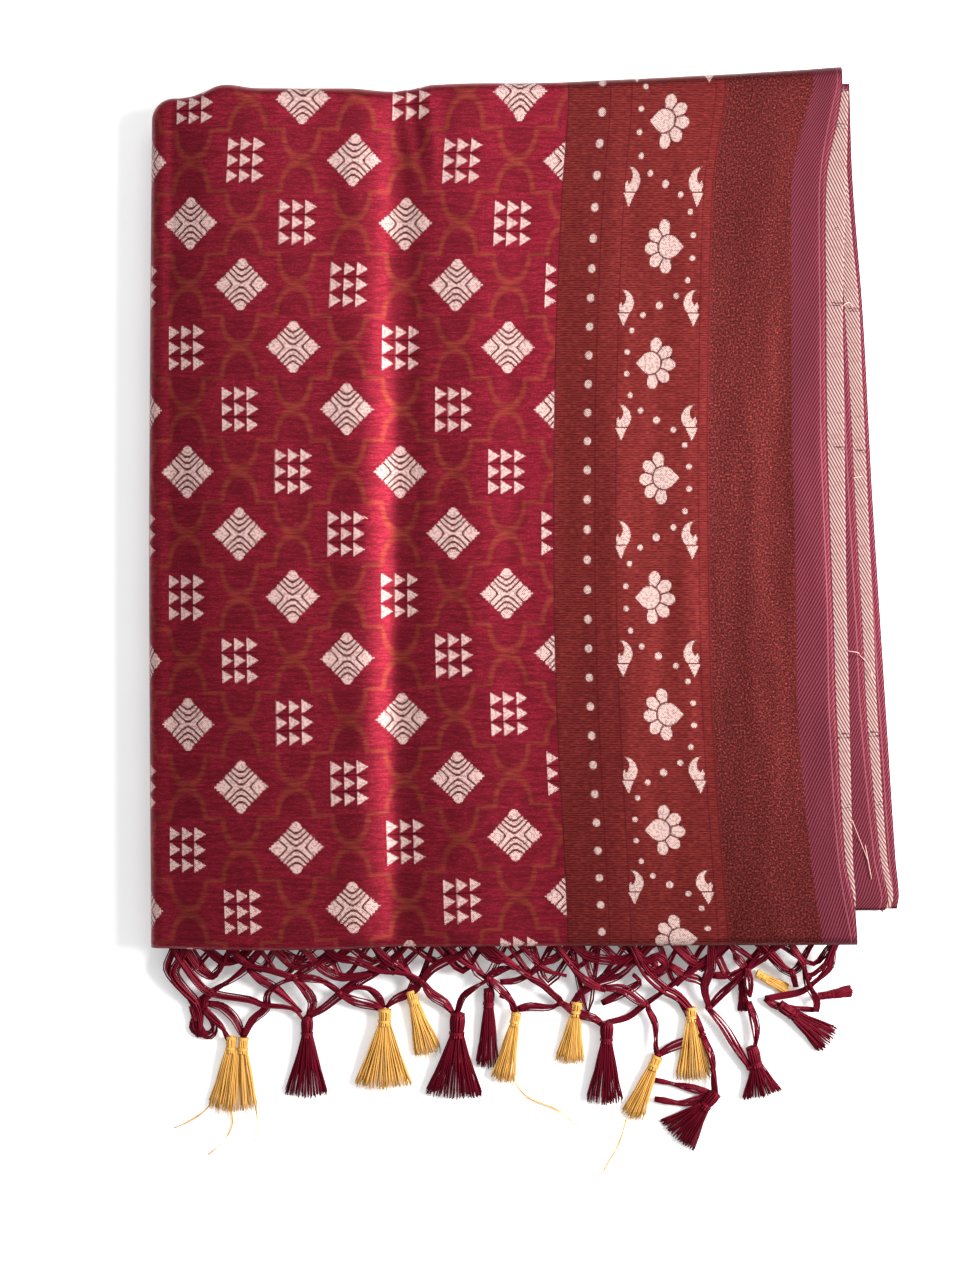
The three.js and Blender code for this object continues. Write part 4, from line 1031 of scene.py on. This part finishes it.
# Routes of the net's bundles: 1 lies over its neighbours, 0 under them and takes darker thread as
# painted shade; then points in plan.
NET_ROUTES = [
    (0, [(-133.7, -177.5), (-135.7, -183.7), (-131.8, -190.5), (-127.4, -196.3), (-125.5, -203.1),
         (-126.5, -208.9), (-123.6, -211.8)]),
    (1, [(-129.8, -178.9), (-132.8, -185.7), (-128.9, -192.5), (-124.0, -198.3), (-122.6, -205.0),
         (-123.1, -210.9)]),
    (0, [(-123.6, -211.3), (-119.2, -212.0), (-117.5, -208.4), (-120.2, -203.1), (-122.6, -201.2)]),
    (1, [(-129.8, -179.9), (-124.0, -188.6), (-118.0, -193.9), (-102.7, -196.8), (-96.9, -199.2),
         (-85.3, -200.7), (-80.5, -205.5)]),
    (0, [(-125.5, -179.9), (-122.6, -184.2), (-117.3, -187.1), (-113.4, -182.8), (-111.5, -178.9)]),
    (0, [(-100.8, -179.9), (-104.7, -184.7), (-111.5, -189.8), (-118.0, -193.9), (-124.5, -198.8)]),
    (1, [(-118.0, -193.9), (-121.1, -198.3), (-123.6, -201.2)]),
    (0, [(-120.2, -198.8), (-114.4, -200.2), (-109.0, -205.0), (-106.1, -210.9), (-105.2, -213.8)]),
    (1, [(-121.6, -200.7), (-117.3, -205.0), (-113.4, -209.4), (-111.0, -214.2)]),
    (1, [(-105.2, -213.3), (-101.8, -206.0), (-96.0, -200.7), (-95.0, -194.4), (-89.2, -189.6),
         (-83.4, -187.4)]),
    (0, [(-102.7, -184.2), (-97.9, -188.6), (-92.1, -192.0), (-87.7, -196.3), (-81.4, -202.6)]),
    (1, [(-84.3, -187.6), (-79.5, -192.5), (-76.6, -198.3), (-78.7, -204.6)]),
    (0, [(-79.0, -204.6), (-72.7, -201.2), (-65.5, -195.2), (-58.2, -189.6), (-49.5, -184.2),
         (-42.7, -178.9)]),
    (1, [(-106.6, -178.9), (-101.8, -182.3), (-93.1, -184.2), (-83.9, -187.4)]),
    (0, [(-83.9, -187.4), (-77.6, -182.8), (-71.8, -178.9)]),
    (1, [(-83.4, -187.4), (-73.7, -188.1), (-65.9, -193.4)]),
    (1, [(-65.9, -194.4), (-59.2, -197.8), (-51.4, -199.7), (-47.6, -201.7)]),
    (0, [(-65.5, -193.9), (-60.1, -191.8), (-53.4, -192.7), (-49.5, -196.3), (-48.0, -200.7)]),
    (1, [(-66.9, -178.4), (-58.2, -180.4), (-49.0, -184.7), (-38.8, -185.7), (-32.1, -188.8)]),
    (1, [(-31.6, -189.1), (-27.7, -183.7), (-22.4, -180.4), (-16.6, -177.9)]),
    (0, [(-31.6, -188.6), (-35.9, -193.9), (-42.7, -197.3), (-46.6, -200.7)]),
    (1, [(-31.6, -189.1), (-28.2, -194.4), (-22.4, -198.3), (-19.0, -202.6)]),
    (1, [(-17.5, -202.6), (-15.1, -195.9), (-9.8, -191.5), (-4.5, -188.1)]),
    (0, [(-16.6, -178.9), (-11.7, -182.8), (-5.0, -187.6)]),
    (1, [(-4.5, -187.6), (0.9, -192.5), (4.7, -197.3), (6.2, -202.6)]),
    (0, [(-5.0, -187.6), (0.9, -184.2), (8.4, -183.3)]),
    (1, [(-4.0, -177.9), (1.8, -179.4), (8.4, -183.7)]),
    (0, [(-77.6, -177.9), (-72.7, -183.7), (-64.0, -187.6), (-50.5, -185.2)]),
    (0, [(-89.2, -178.4), (-83.4, -182.8), (-75.6, -181.3), (-66.9, -178.9)]),
    (0, [(-4.5, -188.1), (-3.0, -190.5), (-4.0, -193.4)]),
    (0, [(-46.6, -178.9), (-40.8, -182.8), (-35.9, -187.6), (-37.9, -194.4)]),
    (0, [(-116.3, -178.4), (-111.5, -180.8), (-104.7, -178.9)]),
    (1, [(0.2, -178.0), (4.4, -181.1), (11.7, -186.9), (18.0, -190.6), (25.3, -197.9)]),
    (0, [(0.2, -189.5), (6.5, -189.0), (11.7, -186.4), (18.0, -181.1), (23.2, -179.0)]),
    (1, [(0.2, -194.7), (4.4, -196.8), (6.5, -202.6)]),
    (0, [(7.5, -201.5), (12.8, -200.0), (20.1, -200.5), (25.3, -198.4), (21.1, -194.2)]),
    (1, [(25.3, -198.4), (31.6, -202.6), (38.9, -204.7), (43.1, -208.3)]),
    (1, [(25.3, -176.9), (30.6, -184.3), (36.3, -189.5), (42.6, -192.6)]),
    (0, [(29.5, -200.0), (34.7, -192.6), (44.2, -186.4), (52.5, -180.1), (56.7, -177.5)]),
    (0, [(31.6, -195.8), (38.9, -190.6), (49.4, -186.9), (57.3, -179.0)]),
    (1, [(42.6, -192.1), (50.4, -192.6), (56.7, -196.8), (60.9, -199.5)]),
    (0, [(42.1, -198.9), (49.4, -194.7), (57.3, -190.0), (54.6, -186.4)]),
    (1, [(55.7, -177.5), (59.9, -185.3), (67.2, -192.1), (73.5, -195.8), (79.8, -203.1),
         (83.4, -210.4)]),
    (0, [(44.2, -206.8), (52.5, -204.7), (58.8, -200.0), (67.2, -193.7), (73.5, -188.5),
         (82.9, -181.1), (87.1, -177.5)]),
    (1, [(60.9, -200.5), (64.1, -207.3), (64.1, -215.7), (65.1, -219.9)]),
    (0, [(65.1, -220.4), (71.4, -216.7), (79.8, -213.6), (83.4, -212.0)]),
    (0, [(83.4, -211.5), (78.7, -206.3), (75.6, -200.0), (73.5, -195.8)]),
    (1, [(83.9, -212.5), (87.1, -220.9), (88.1, -229.3), (88.7, -236.6)]),
    (1, [(86.0, -201.0), (92.3, -208.3), (97.5, -216.7), (102.8, -225.1)]),
    (0, [(86.6, -200.5), (91.3, -194.7), (97.5, -188.5), (101.2, -184.3)]),
    (1, [(86.0, -200.0), (83.9, -191.6), (86.0, -183.2), (86.0, -176.9)]),
    (0, [(69.3, -182.2), (75.6, -186.4), (82.9, -189.5), (86.0, -198.9)]),
    (0, [(101.2, -184.3), (97.5, -180.1), (96.0, -177.5)]),
    (0, [(101.2, -184.3), (104.9, -180.1), (108.0, -177.5)]),
    (0, [(101.2, -184.3), (94.4, -186.4), (87.1, -186.9)]),
    (1, [(101.2, -184.3), (102.3, -190.6), (102.8, -195.8)]),
    (0, [(111.2, -177.5), (116.4, -183.2), (119.5, -185.3), (121.6, -191.6)]),
    (1, [(120.6, -176.4), (124.2, -182.2), (126.3, -190.6), (130.0, -196.8), (130.0, -202.1)]),
    (0, [(135.8, -176.4), (135.2, -182.7), (131.0, -187.9), (124.8, -193.7), (116.4, -195.8),
         (109.1, -196.8)]),
    (1, [(135.2, -176.9), (133.1, -181.1), (129.0, -185.3), (125.8, -186.9)]),
    (0, [(109.1, -196.8), (114.3, -200.0), (122.7, -201.0), (129.5, -201.5)]),
    (1, [(102.3, -197.9), (104.9, -206.3), (105.4, -213.6), (103.3, -223.0)]),
    (0, [(12.8, -178.0), (19.0, -184.3), (27.4, -186.9)]),
    (0, [(34.7, -178.0), (44.2, -180.1), (52.5, -179.0)]),
    (1, [(58.8, -180.1), (64.6, -178.5), (67.7, -182.2), (63.0, -184.8), (59.3, -181.7)]),
    (0, [(75.6, -178.0), (79.8, -181.1), (83.9, -180.1)]),
    (0, [(88.1, -236.6), (75.9, -233.1), (63.3, -230.5)]),
    (0, [(88.1, -236.9), (75.9, -240.0), (63.8, -238.4)]),
]
# Short loops at the back of the net, in dark thread as painted shade: left and right ends under the
# cloth, lowest point.
BACK_LOOPS = [
    (-131, -118, -183), (-126, -110, -187), (-119, -104, -181), (-108, -92, -184), (-98, -80, -187),
    (-90, -76, -180), (-80, -62, -183), (-70, -55, -188), (-60, -46, -181), (-50, -33, -185),
    (-42, -28, -190), (-34, -20, -181), (-24, -8, -185), (-14, 1, -188), (-6, 10, -181),
    (5, 20, -186), (14, 30, -190), (24, 38, -183), (30, 40, -203), (34, 50, -190), (44, 60, -182),
    (52, 72, -187), (66, 82, -191), (76, 92, -184), (88, 106, -188), (98, 112, -181),
    (108, 126, -186), (118, 134, -182),
]
# Where bundles are knotted together.
NET_KNOTS = [
    (-118.0, -193.9), (-83.4, -187.4), (-65.5, -194.4), (-31.6, -189.1), (-4.5, -187.8),
    (-79.0, -204.9), (-120.7, -199.0), (-124.5, -198.8), (11.7, -186.7), (25.3, -198.4),
    (42.6, -192.4), (60.9, -199.8), (67.2, -192.6), (86.0, -200.5), (83.4, -211.7), (65.1, -220.1),
    (101.2, -184.3), (126.3, -187.2), (119.5, -185.3), (102.8, -225.1), (88.7, -236.6),
    (63.3, -181.7),
]
# Tassels: thread, top of the head, end of the skirt, half width, head radius, lift.
TASSELS = [
    ("maroon", (-126.2, -200.0), (-122.6, -213.0), 2.2, 1.7, 0.0),
    ("gold", (-107.6, -212.6), (-109.8, -243.2), 10.2, 2.6, 0.0),
    ("maroon", (-79.0, -204.6), (-79.4, -237.8), 8.8, 2.5, 0.0),
    ("gold", (-47.0, -200.9), (-47.8, -233.7), 11.8, 2.7, 1.9),
    ("gold", (-36.6, -193.6), (-29.3, -219.8), 5.6, 2.3, 0.0),
    ("maroon", (-17.0, -202.4), (-18.9, -237.8), 11.8, 3.2, 1.9),
    ("maroon", (-4.3, -192.8), (-5.1, -225.5), 4.8, 2.3, 0.0),
    ("gold", (7.0, -202.5), (1.2, -230.9), 5.0, 2.0, 1.9),
    ("gold", (31.8, -198.4), (28.8, -223.5), 5.8, 2.2, 0.0),
    ("maroon", (44.1, -206.2), (43.3, -240.3), 7.6, 2.7, 1.9),
    ("gold", (65.0, -220.6), (54.4, -246.0), 4.8, 2.2, 0.0),
    ("gold", (78.6, -200.5), (80.5, -230.6), 7.6, 2.2, 0.0),
    ("maroon", (103.6, -216.5), (108.6, -237.6), 8.4, 2.7, 0.0),
    ("maroon", (89.2, -235.4), (72.4, -254.4), 9.6, 2.6, 0.0),
    ("maroon", (115.1, -199.3), (136.4, -214.9), 6.4, 2.4, 0.0),
    ("maroon", (131.4, -196.0), (145.4, -194.0), 2.4, 1.6, 0.0),
    ("gold", (105.8, -186.6), (118.6, -193.4), 2.4, 1.7, 0.0),
    ("maroon", (99.4, -188.6), (100.8, -202.4), 2.6, 1.6, 0.0),
]
# Long loose ends that trail from a tassel, as routes in plan.
TAILS = {
    2: [
        [(-117.4, -238.0), (-121.6, -243.4), (-127.4, -247.6), (-133.6, -250.5)],
        [(-111.0, -240.0), (-110.2, -249.0), (-113.8, -256.0), (-120.0, -261.6)],
        [(-100.6, -239.0), (-99.9, -248.6), (-101.1, -256.3)],
    ],
    8: [[(4.2, -229.4), (11.8, -237.6), (21.0, -241.4), (27.5, -245.7), (32.3, -249.9)]],
    11: [[(52.4, -247.0), (48.8, -257.8), (44.9, -264.6), (41.0, -271.0)]],
}
UP = Vector((0, 0, 1))
BOUND = -1.0  # place along a strand that gives it the binding colour
SKIRT_STEPS = (0.0, 0.22, 0.48, 0.75, 1.0)


def sides_of(ahead):
    """The directions to the side of and over a thread that runs ahead."""
    side = ahead.cross(UP)
    side = side.normalized() if side.length > 1e-4 else Vector((1, 0, 0))
    return side, side.cross(ahead)


def add_strand(bm, path, radius, tag, sides=4, taper=1.0, start=0.0, finish=1.0):
    """One thread as a closed tube along a path of millimetre points, mapped from root to end."""
    strands = bm.loops.layers.uv.verify()
    rings = []
    count = len(path)
    for k, point in enumerate(path):
        ahead = (path[min(k + 1, count - 1)] - path[max(k - 1, 0)]).normalized()
        side, over = sides_of(ahead)
        size = radius * lerp(1.0, taper, k / (count - 1))
        ring = []
        for s in range(sides):
            turn = 2 * math.pi * (s + 0.5) / sides
            spot = point + side * (math.cos(turn) * size) + over * (math.sin(turn) * size)
            ring.append(bm.verts.new(place(spot.x, spot.y, max(spot.z, LEAST_HEIGHT))))
        rings.append(ring)
    for k in range(count - 1):
        for s in range(sides):
            after = (s + 1) % sides
            face = bm.faces.new((rings[k][s], rings[k + 1][s], rings[k + 1][after], rings[k][after]))
            for loop, step in zip(face.loops, (k, k + 1, k + 1, k)):
                loop[strands].uv = (tag, lerp(start, finish, step / (count - 1)))
    for ring, step, turned in ((rings[0], start, False), (rings[-1], finish, True)):
        face = bm.faces.new(ring[::-1] if turned else ring)
        for loop in face.loops:
            loop[strands].uv = (tag, step)


def curve_through(points, steps):
    """Points on a smooth curve through a few given ones."""
    ends = [points[0] * 2 - points[1], *points, points[-1] * 2 - points[-2]]
    path = []
    for k in range(1, len(ends) - 2):
        a, b, c, d = ends[k - 1 : k + 3]
        for step in range(steps):
            t = step / steps
            bend = (a * 2 - b * 5 + c * 4 - d) * t * t + (b * 3 - a - c * 3 + d) * t * t * t
            path.append(0.5 * (b * 2 + (c - a) * t + bend))
    path.append(points[-1].copy())
    return path


def net_height(y, level):
    """The net slopes from the strip down towards the floor; level 1 lies over level 0."""
    return lerp(8.4, 1.7, smooth(0.0, 28.0, HANG_LINE - y)) + 1.5 * level


def net_path(level, points):
    """A bundle's route in space; where it starts near the cloth it runs on in under it."""
    path = [Vector((x, y, net_height(y, level))) for x, y in points]
    for last in (False, True):
        near, far = (path[-1], path[-2]) if last else (path[0], path[1])
        if near.y < NEAR_CLOTH:
            continue
        slope = (near.x - far.x) / max(abs(near.y - far.y), 2.0)
        run = min(max(slope * (ROOT_LINE - near.y), -7.0), 7.0)
        root = Vector((near.x + run, ROOT_LINE, ROOT_HEIGHT))
        path = [*path, root] if last else [root, *path]
    return curve_through(path, 3)


def add_bundle(bm, route, rng, tone, threads=11, width=1.75):
    """A flattened bundle of silky threads that slowly turns over, tight at both ends."""
    phase = rng.uniform(-0.6, 0.6)
    turns = rng.uniform(0.3, 1.0)
    for thread in range(threads):
        across = width * (2 * thread / (threads - 1) - 1) + rng.uniform(-0.12, 0.12)
        deep = 0.5 if thread % 2 else -0.5
        drift = rng.uniform(-0.35, 0.35)
        path = []
        for k, point in enumerate(route):
            t = k / (len(route) - 1)
            ahead = (route[min(k + 1, len(route) - 1)] - route[max(k - 1, 0)]).normalized()
            side, over = sides_of(ahead)
            turn = phase + math.pi * turns * t
            loose = 0.55 + 0.5 * math.sin(math.pi * t)
            wide = math.cos(turn) * across - math.sin(turn) * deep + drift * math.sin(math.pi * t)
            tall = math.sin(turn) * across * 0.6 + math.cos(turn) * deep
            path.append(point + (side * wide + over * tall) * loose)
        tag = min(max(tone + rng.uniform(-0.22, 0.22), 0.0), 1.0)
        add_strand(bm, path, rng.uniform(0.28, 0.40), tag)


def add_wrap(bm, centre, axis, radius, length, coils, thickness, tag, along=0.2):
    """Thread wound round and round: a close helix about an axis."""
    side, over = sides_of(axis)
    steps = int(coils * 9)
    path = []
    for k in range(steps + 1):
        t = k / steps
        turn = 2 * math.pi * coils * t
        spot = centre + axis * (length * (t - 0.5)) + side * (math.cos(turn) * radius)
        path.append(spot + over * (math.sin(turn) * radius))
    add_strand(bm, path, thickness, tag, start=along, finish=along)


def add_core(bm, centre, axis, radius, length, tag):
    """The solid heart of a knot or head, under its winding."""
    strands = bm.loops.layers.uv.verify()
    made = bmesh.ops.create_uvsphere(bm, u_segments=12, v_segments=8, radius=1.0)["verts"]
    turn = UP.rotation_difference(axis).to_matrix()
    for vert in made:
        local = Vector((vert.co.x * radius, vert.co.y * radius, vert.co.z * length / 2))
        spot = centre + turn @ local
        vert.co = place(spot.x, spot.y, max(spot.z, LEAST_HEIGHT))
    for face in {face for vert in made for face in vert.link_faces}:
        for loop in face.loops:
            loop[strands].uv = (tag, 0.2)


def add_knot(bm, centre, axis, rng, radius=1.45):
    """Two bundles tied over each other: a small heart and a few slack turns."""
    add_core(bm, centre, axis, radius * 0.8, radius * 2.2, rng.uniform(0.3, 0.7))
    for _ in range(4):
        tilt = Vector((rng.uniform(-0.9, 0.9), rng.uniform(-0.9, 0.9), rng.uniform(-0.2, 0.5)))
        tilted = (axis + tilt).normalized()
        wide = radius * rng.uniform(0.78, 1.05)
        add_wrap(bm, centre, tilted, wide, radius * 0.8, 1.2, 0.34, rng.random())


def make_fringe_net():
    """The knotted net of thread bundles, with the short loops behind it."""
    rng = random.Random(21)
    bm = bmesh.new()
    for level, points in NET_ROUTES:
        # Bundles under their neighbours take darker tones than those over them: painted shade.
        tone = rng.uniform(0.5, 0.95) if level else rng.uniform(0.1, 0.65)
        add_bundle(bm, net_path(level, points), rng, tone)
    for left, right, dip in BACK_LOOPS:
        sway = rng.uniform(-2.5, 2.5)
        points = [(left, HANG_LINE), (lerp(left, right, 0.5) + sway, dip), (right, HANG_LINE)]
        # The loops at the back take dark tones: painted shade.
        add_bundle(bm, net_path(-0.6, points), rng, rng.uniform(0.0, 0.4), threads=8, width=1.5)
    for x, y in NET_KNOTS:
        axis = Vector((rng.uniform(-1, 1), rng.uniform(-1, -0.2), 0)).normalized()
        add_knot(bm, Vector((x, y, net_height(y, 0.6) + 0.3)), axis, rng)
    return mesh_object("net_threads", bm, MAROON_THREAD)


def make_strip():
    """The narrow edge of the pallu that the net grows out of, woven like the plain stripe."""

    def shape(s, t):
        x = lerp(STRIP["left"], STRIP["right"], s)
        y = lerp(STRIP["front"], STRIP["back"], t)
        z = STRIP["high"] - 0.2 + 0.12 * ripple(x, y, 5.0, 12.0)
        flat_x = 100.0 + 20.0 * t
        return place(x, y, z), flat_x, x, 0.0

    return thicken(woven_grid("pallu_edge", 160, 14, shape, RIGHT_SIDE), 0.8)


def add_head(bm, crown, ahead, head, long, gold, rng):
    """Threads folded over and bound below."""
    side = UP.cross(ahead)
    middle = crown + ahead * long * 0.5
    neck = crown + ahead * long
    add_core(bm, middle, ahead, head * 0.74, long * 1.2, rng.uniform(0.3, 0.6))
    for k in range(16):
        turn = 2 * math.pi * (k + rng.uniform(-0.3, 0.3)) / 16
        ring = side * math.cos(turn) + UP * math.sin(turn)
        swell = rng.uniform(0.86, 1.0)
        path = [
            crown + ring * head * 0.55,
            crown + ahead * long * 0.25 + ring * head * swell * 0.92,
            crown + ahead * long * 0.7 + ring * head * swell * 0.90,
            neck + ring * head * 0.72,
            neck + ahead * 1.8 + ring * head * 0.86,
        ]
        add_strand(bm, curve_through(path, 3), head * 0.16, rng.random())
    bands = ((0.12, 1.0), (0.98, 0.98)) if gold else ((0.08, 0.90), (0.98, 0.98))
    for share, wide in bands:
        centre = crown + ahead * long * share
        add_wrap(bm, centre, ahead, head * wide, 1.1, 3.0, 0.24, rng.random(), BOUND)


def add_skirt_thread(bm, skirt, rng):
    """One thread of a tassel's skirt: its path and its tag."""
    number, neck, ahead, side, reach, spread, half, head, lift = skirt
    locks = 6 + int(half)
    lock = rng.randrange(locks)
    across = (2 * (lock + 0.5) / locks - 1) + rng.gauss(0.0, 0.30) / locks
    across = min(max(across, -1.0), 1.0)
    layer = rng.random()
    thick = math.sqrt(max(0.0, 1 - across * across))
    low = 0.4 + lift
    high = 0.6 + lift + (1.2 + head * 0.9) * (0.35 + 0.65 * thick)
    ragged = rng.uniform(0.90, 1.02) - 0.05 * abs(across)
    wave = rng.uniform(-0.35, 0.35)
    start_z = neck.z + (layer - 0.5) * head * 0.9
    path = []
    for t in SKIRT_STEPS:
        out = lerp(spread, half, t ** 1.1) * across + wave * math.sin(5.0 * t + lock)
        droop = lerp(start_z, lerp(low, high, layer), smooth(0, 1, t * 1.5))
        spot = neck + ahead * reach * ragged * t + side * out
        spot.z = droop * lerp(1.0, 0.75, t) if t > 0.5 else droop
        path.append(spot)
    tone = (math.sin(lock * 7.3 + number) * 0.5 + 0.5) * 0.6
    tag = min(max(tone + rng.uniform(0.0, 0.4), 0.0), 1.0)
    add_strand(bm, curve_through(path, 2), rng.uniform(0.20, 0.30), tag, sides=3, taper=0.85)
    return path, tag


def add_frayed_tip(bm, path, tag, ahead, side, rng):
    """A hair-thin end that runs on past a thread of the skirt."""
    tip = path[-1] + ahead * rng.uniform(0.8, 3.0) + side * rng.uniform(-0.8, 0.8)
    tip.z = max(path[-1].z * 0.6, 0.3)
    add_strand(bm, [path[-2], path[-1], tip], 0.075, tag, sides=3, start=0.9, finish=1.3)


def add_tail(bm, route, rng):
    """Four long ends that trail side by side over the floor."""
    for _ in range(4):
        loose = []
        for x, y in route:
            shifted_x = x + rng.uniform(-0.5, 0.5)
            shifted_y = y + rng.uniform(-0.5, 0.5)
            loose.append(Vector((shifted_x, shifted_y, 0.5 + rng.uniform(0, 0.4))))
        path = curve_through(loose, 5)
        add_strand(bm, path, 0.19, rng.random(), sides=3, taper=0.6, start=1.1, finish=1.3)


def make_tassel(number, row):
    """A tassel: bound head or two, skirt of threads and what trails from it."""
    thread, top, end, half, head, lift = row
    rng = random.Random(100 + number)
    gold = thread == "gold"
    bm = bmesh.new()
    ahead = Vector((end[0] - top[0], end[1] - top[1], 0))
    length = ahead.length
    ahead.normalize()
    side = UP.cross(ahead)
    crown = Vector((top[0], top[1], max(head + 0.4, 2.25 + lift)))
    long = head * (1.9 if gold else 2.7)
    double = number == 2
    for shift in (-0.95, 0.95) if double else (0.0,):
        size = head * (0.8 if double else 1.0)
        add_head(bm, crown + side * head * shift, ahead, size, long, gold, rng)
    neck = crown + ahead * long
    spread = head * (1.7 if double else 0.80)
    skirt = (number, neck, ahead, side, length - long, spread, half, head, lift)
    for k in range(int(70 + half * 13)):
        path, tag = add_skirt_thread(bm, skirt, rng)
        if gold and k % 3 == 0:
            add_frayed_tip(bm, path, tag, ahead, side, rng)
    for route in TAILS.get(number, ()):
        add_tail(bm, route, rng)
    return mesh_object(f"tassel_threads_{number:02d}", bm, GOLD_THREAD if gold else MAROON_THREAD)


# Loose pale threads that lie on the cloth or over the edges: points of each, height last.
LOOSE_THREADS = [
    [(136.8, 84.1, 22.3), (140.0, 86.0, 20.9), (144.4, 86.5, 8.4)],
    [
        (139.6, -53.9, 20.8), (144.0, -54.6, 20.0), (147.0, -56.0, 9.4), (150.6, -60.0, 9.2),
        (152.4, -66.0, 8.9),
    ],
    [(144.0, 16.5, 9.0), (147.6, 17.2, 8.6)],
    [
        (-95.4, 29.0, 23.6), (-88.0, 24.0, 23.7), (-78.6, 18.5, 23.6), (-73.0, 12.4, 23.5),
        (-64.0, 6.5, 23.4), (-53.0, -1.0, 23.8),
    ],
    [(141.5, -122.0, 20.9), (146.8, -131.0, 9.4), (150.0, -139.0, 9.2)],
    [(149.0, -133.0, 9.2), (151.6, -147.0, 9.2)],
]


def make_loose_threads():
    rng = random.Random(5)
    bm = bmesh.new()
    for points in LOOSE_THREADS:
        path = curve_through([Vector(point) for point in points], 6)
        add_strand(bm, path, 0.16, rng.random(), sides=5)
    return mesh_object("loose_threads", bm, PALE_THREAD)


# ---------------------------------------------------------------- building the sari
def settle(piece, node):
    """The piece stands for its node, on the one body."""
    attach(piece, BODY)
    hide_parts(node)
    return piece


panel = settle(make_top_panel(), "top_panel")
for name, node, slot, edge, height, material, seed in STRETCHES:
    band = settle(make_stretch(name, edge, height, material, seed), node)
pile = settle(make_hidden_layers(), "hidden_layers")
net = settle(make_fringe_net(), "fringe_net")
strip = make_strip()
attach(strip, BODY)
for index, row in enumerate(TASSELS):
    slot = "gold_thread" if row[0] == "gold" else "maroon_thread"
    tassel = make_tassel(index + 1, row)
    settle(tassel, f"tassel_{index + 1:02d}")
loose = make_loose_threads()
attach(loose, BODY)


# ---------------------------------------------------------------- floor, light and camera
def make_floor():
    """A wide pale sheet just under the sari."""
    bm = bmesh.new()
    bmesh.ops.create_grid(bm, x_segments=1, y_segments=1, size=4.0)
    floor = mesh_object("floor", bm, floor_finish())
    floor.location.z = -0.0005


def add_light(name, spot, size, power, colour):
    """A soft rectangular light that faces the sari."""
    lamp = bpy.data.lights.new(name, "AREA")
    lamp.shape = "RECTANGLE"
    lamp.size, lamp.size_y = size
    lamp.energy = power
    lamp.color = colour
    light = bpy.data.objects.new(name, lamp)
    light.location = spot
    light.rotation_mode = "QUATERNION"
    light.rotation_quaternion = (-Vector(spot)).to_track_quat("-Z", "Y")
    bpy.context.scene.collection.objects.link(light)


def make_world():
    world = bpy.data.worlds.new("soft_studio")
    world.use_nodes = True
    background = world.node_tree.nodes["Background"]
    background.inputs["Color"].default_value = (1.0, 1.0, 1.0, 1)
    background.inputs["Strength"].default_value = 0.55
    bpy.context.scene.world = world


# The frame of the picture covers 384 by 512 mm at the height of the panel.
CAMERA_HEIGHT = 0.8
PICTURE_LENGTH = 0.512
PICTURE_CENTRE = (-8.0, -49.5)
PANEL_HEIGHT = 24.0


def make_camera():
    """Straight above, framed like the picture."""
    camera = bpy.data.cameras.new("camera")
    camera.sensor_width = 36.0
    camera.lens = camera.sensor_width * (CAMERA_HEIGHT - PANEL_HEIGHT * MM) / PICTURE_LENGTH
    camera.clip_start = 0.01
    holder = bpy.data.objects.new("camera", camera)
    holder.location = place(PICTURE_CENTRE[0], PICTURE_CENTRE[1], CAMERA_HEIGHT / MM)
    bpy.context.scene.collection.objects.link(holder)
    bpy.context.scene.camera = holder


make_floor()
make_world()
add_light("window", (0.80, 0.10, 0.70), (0.36, 0.5), 25.0, (1.0, 0.98, 0.96))
add_light("fill", (0.1, 0.9, 1.4), (1.2, 0.6), 9.0, (0.96, 0.98, 1.0))
make_camera()
bpy.context.scene.view_settings.view_transform = "Standard"
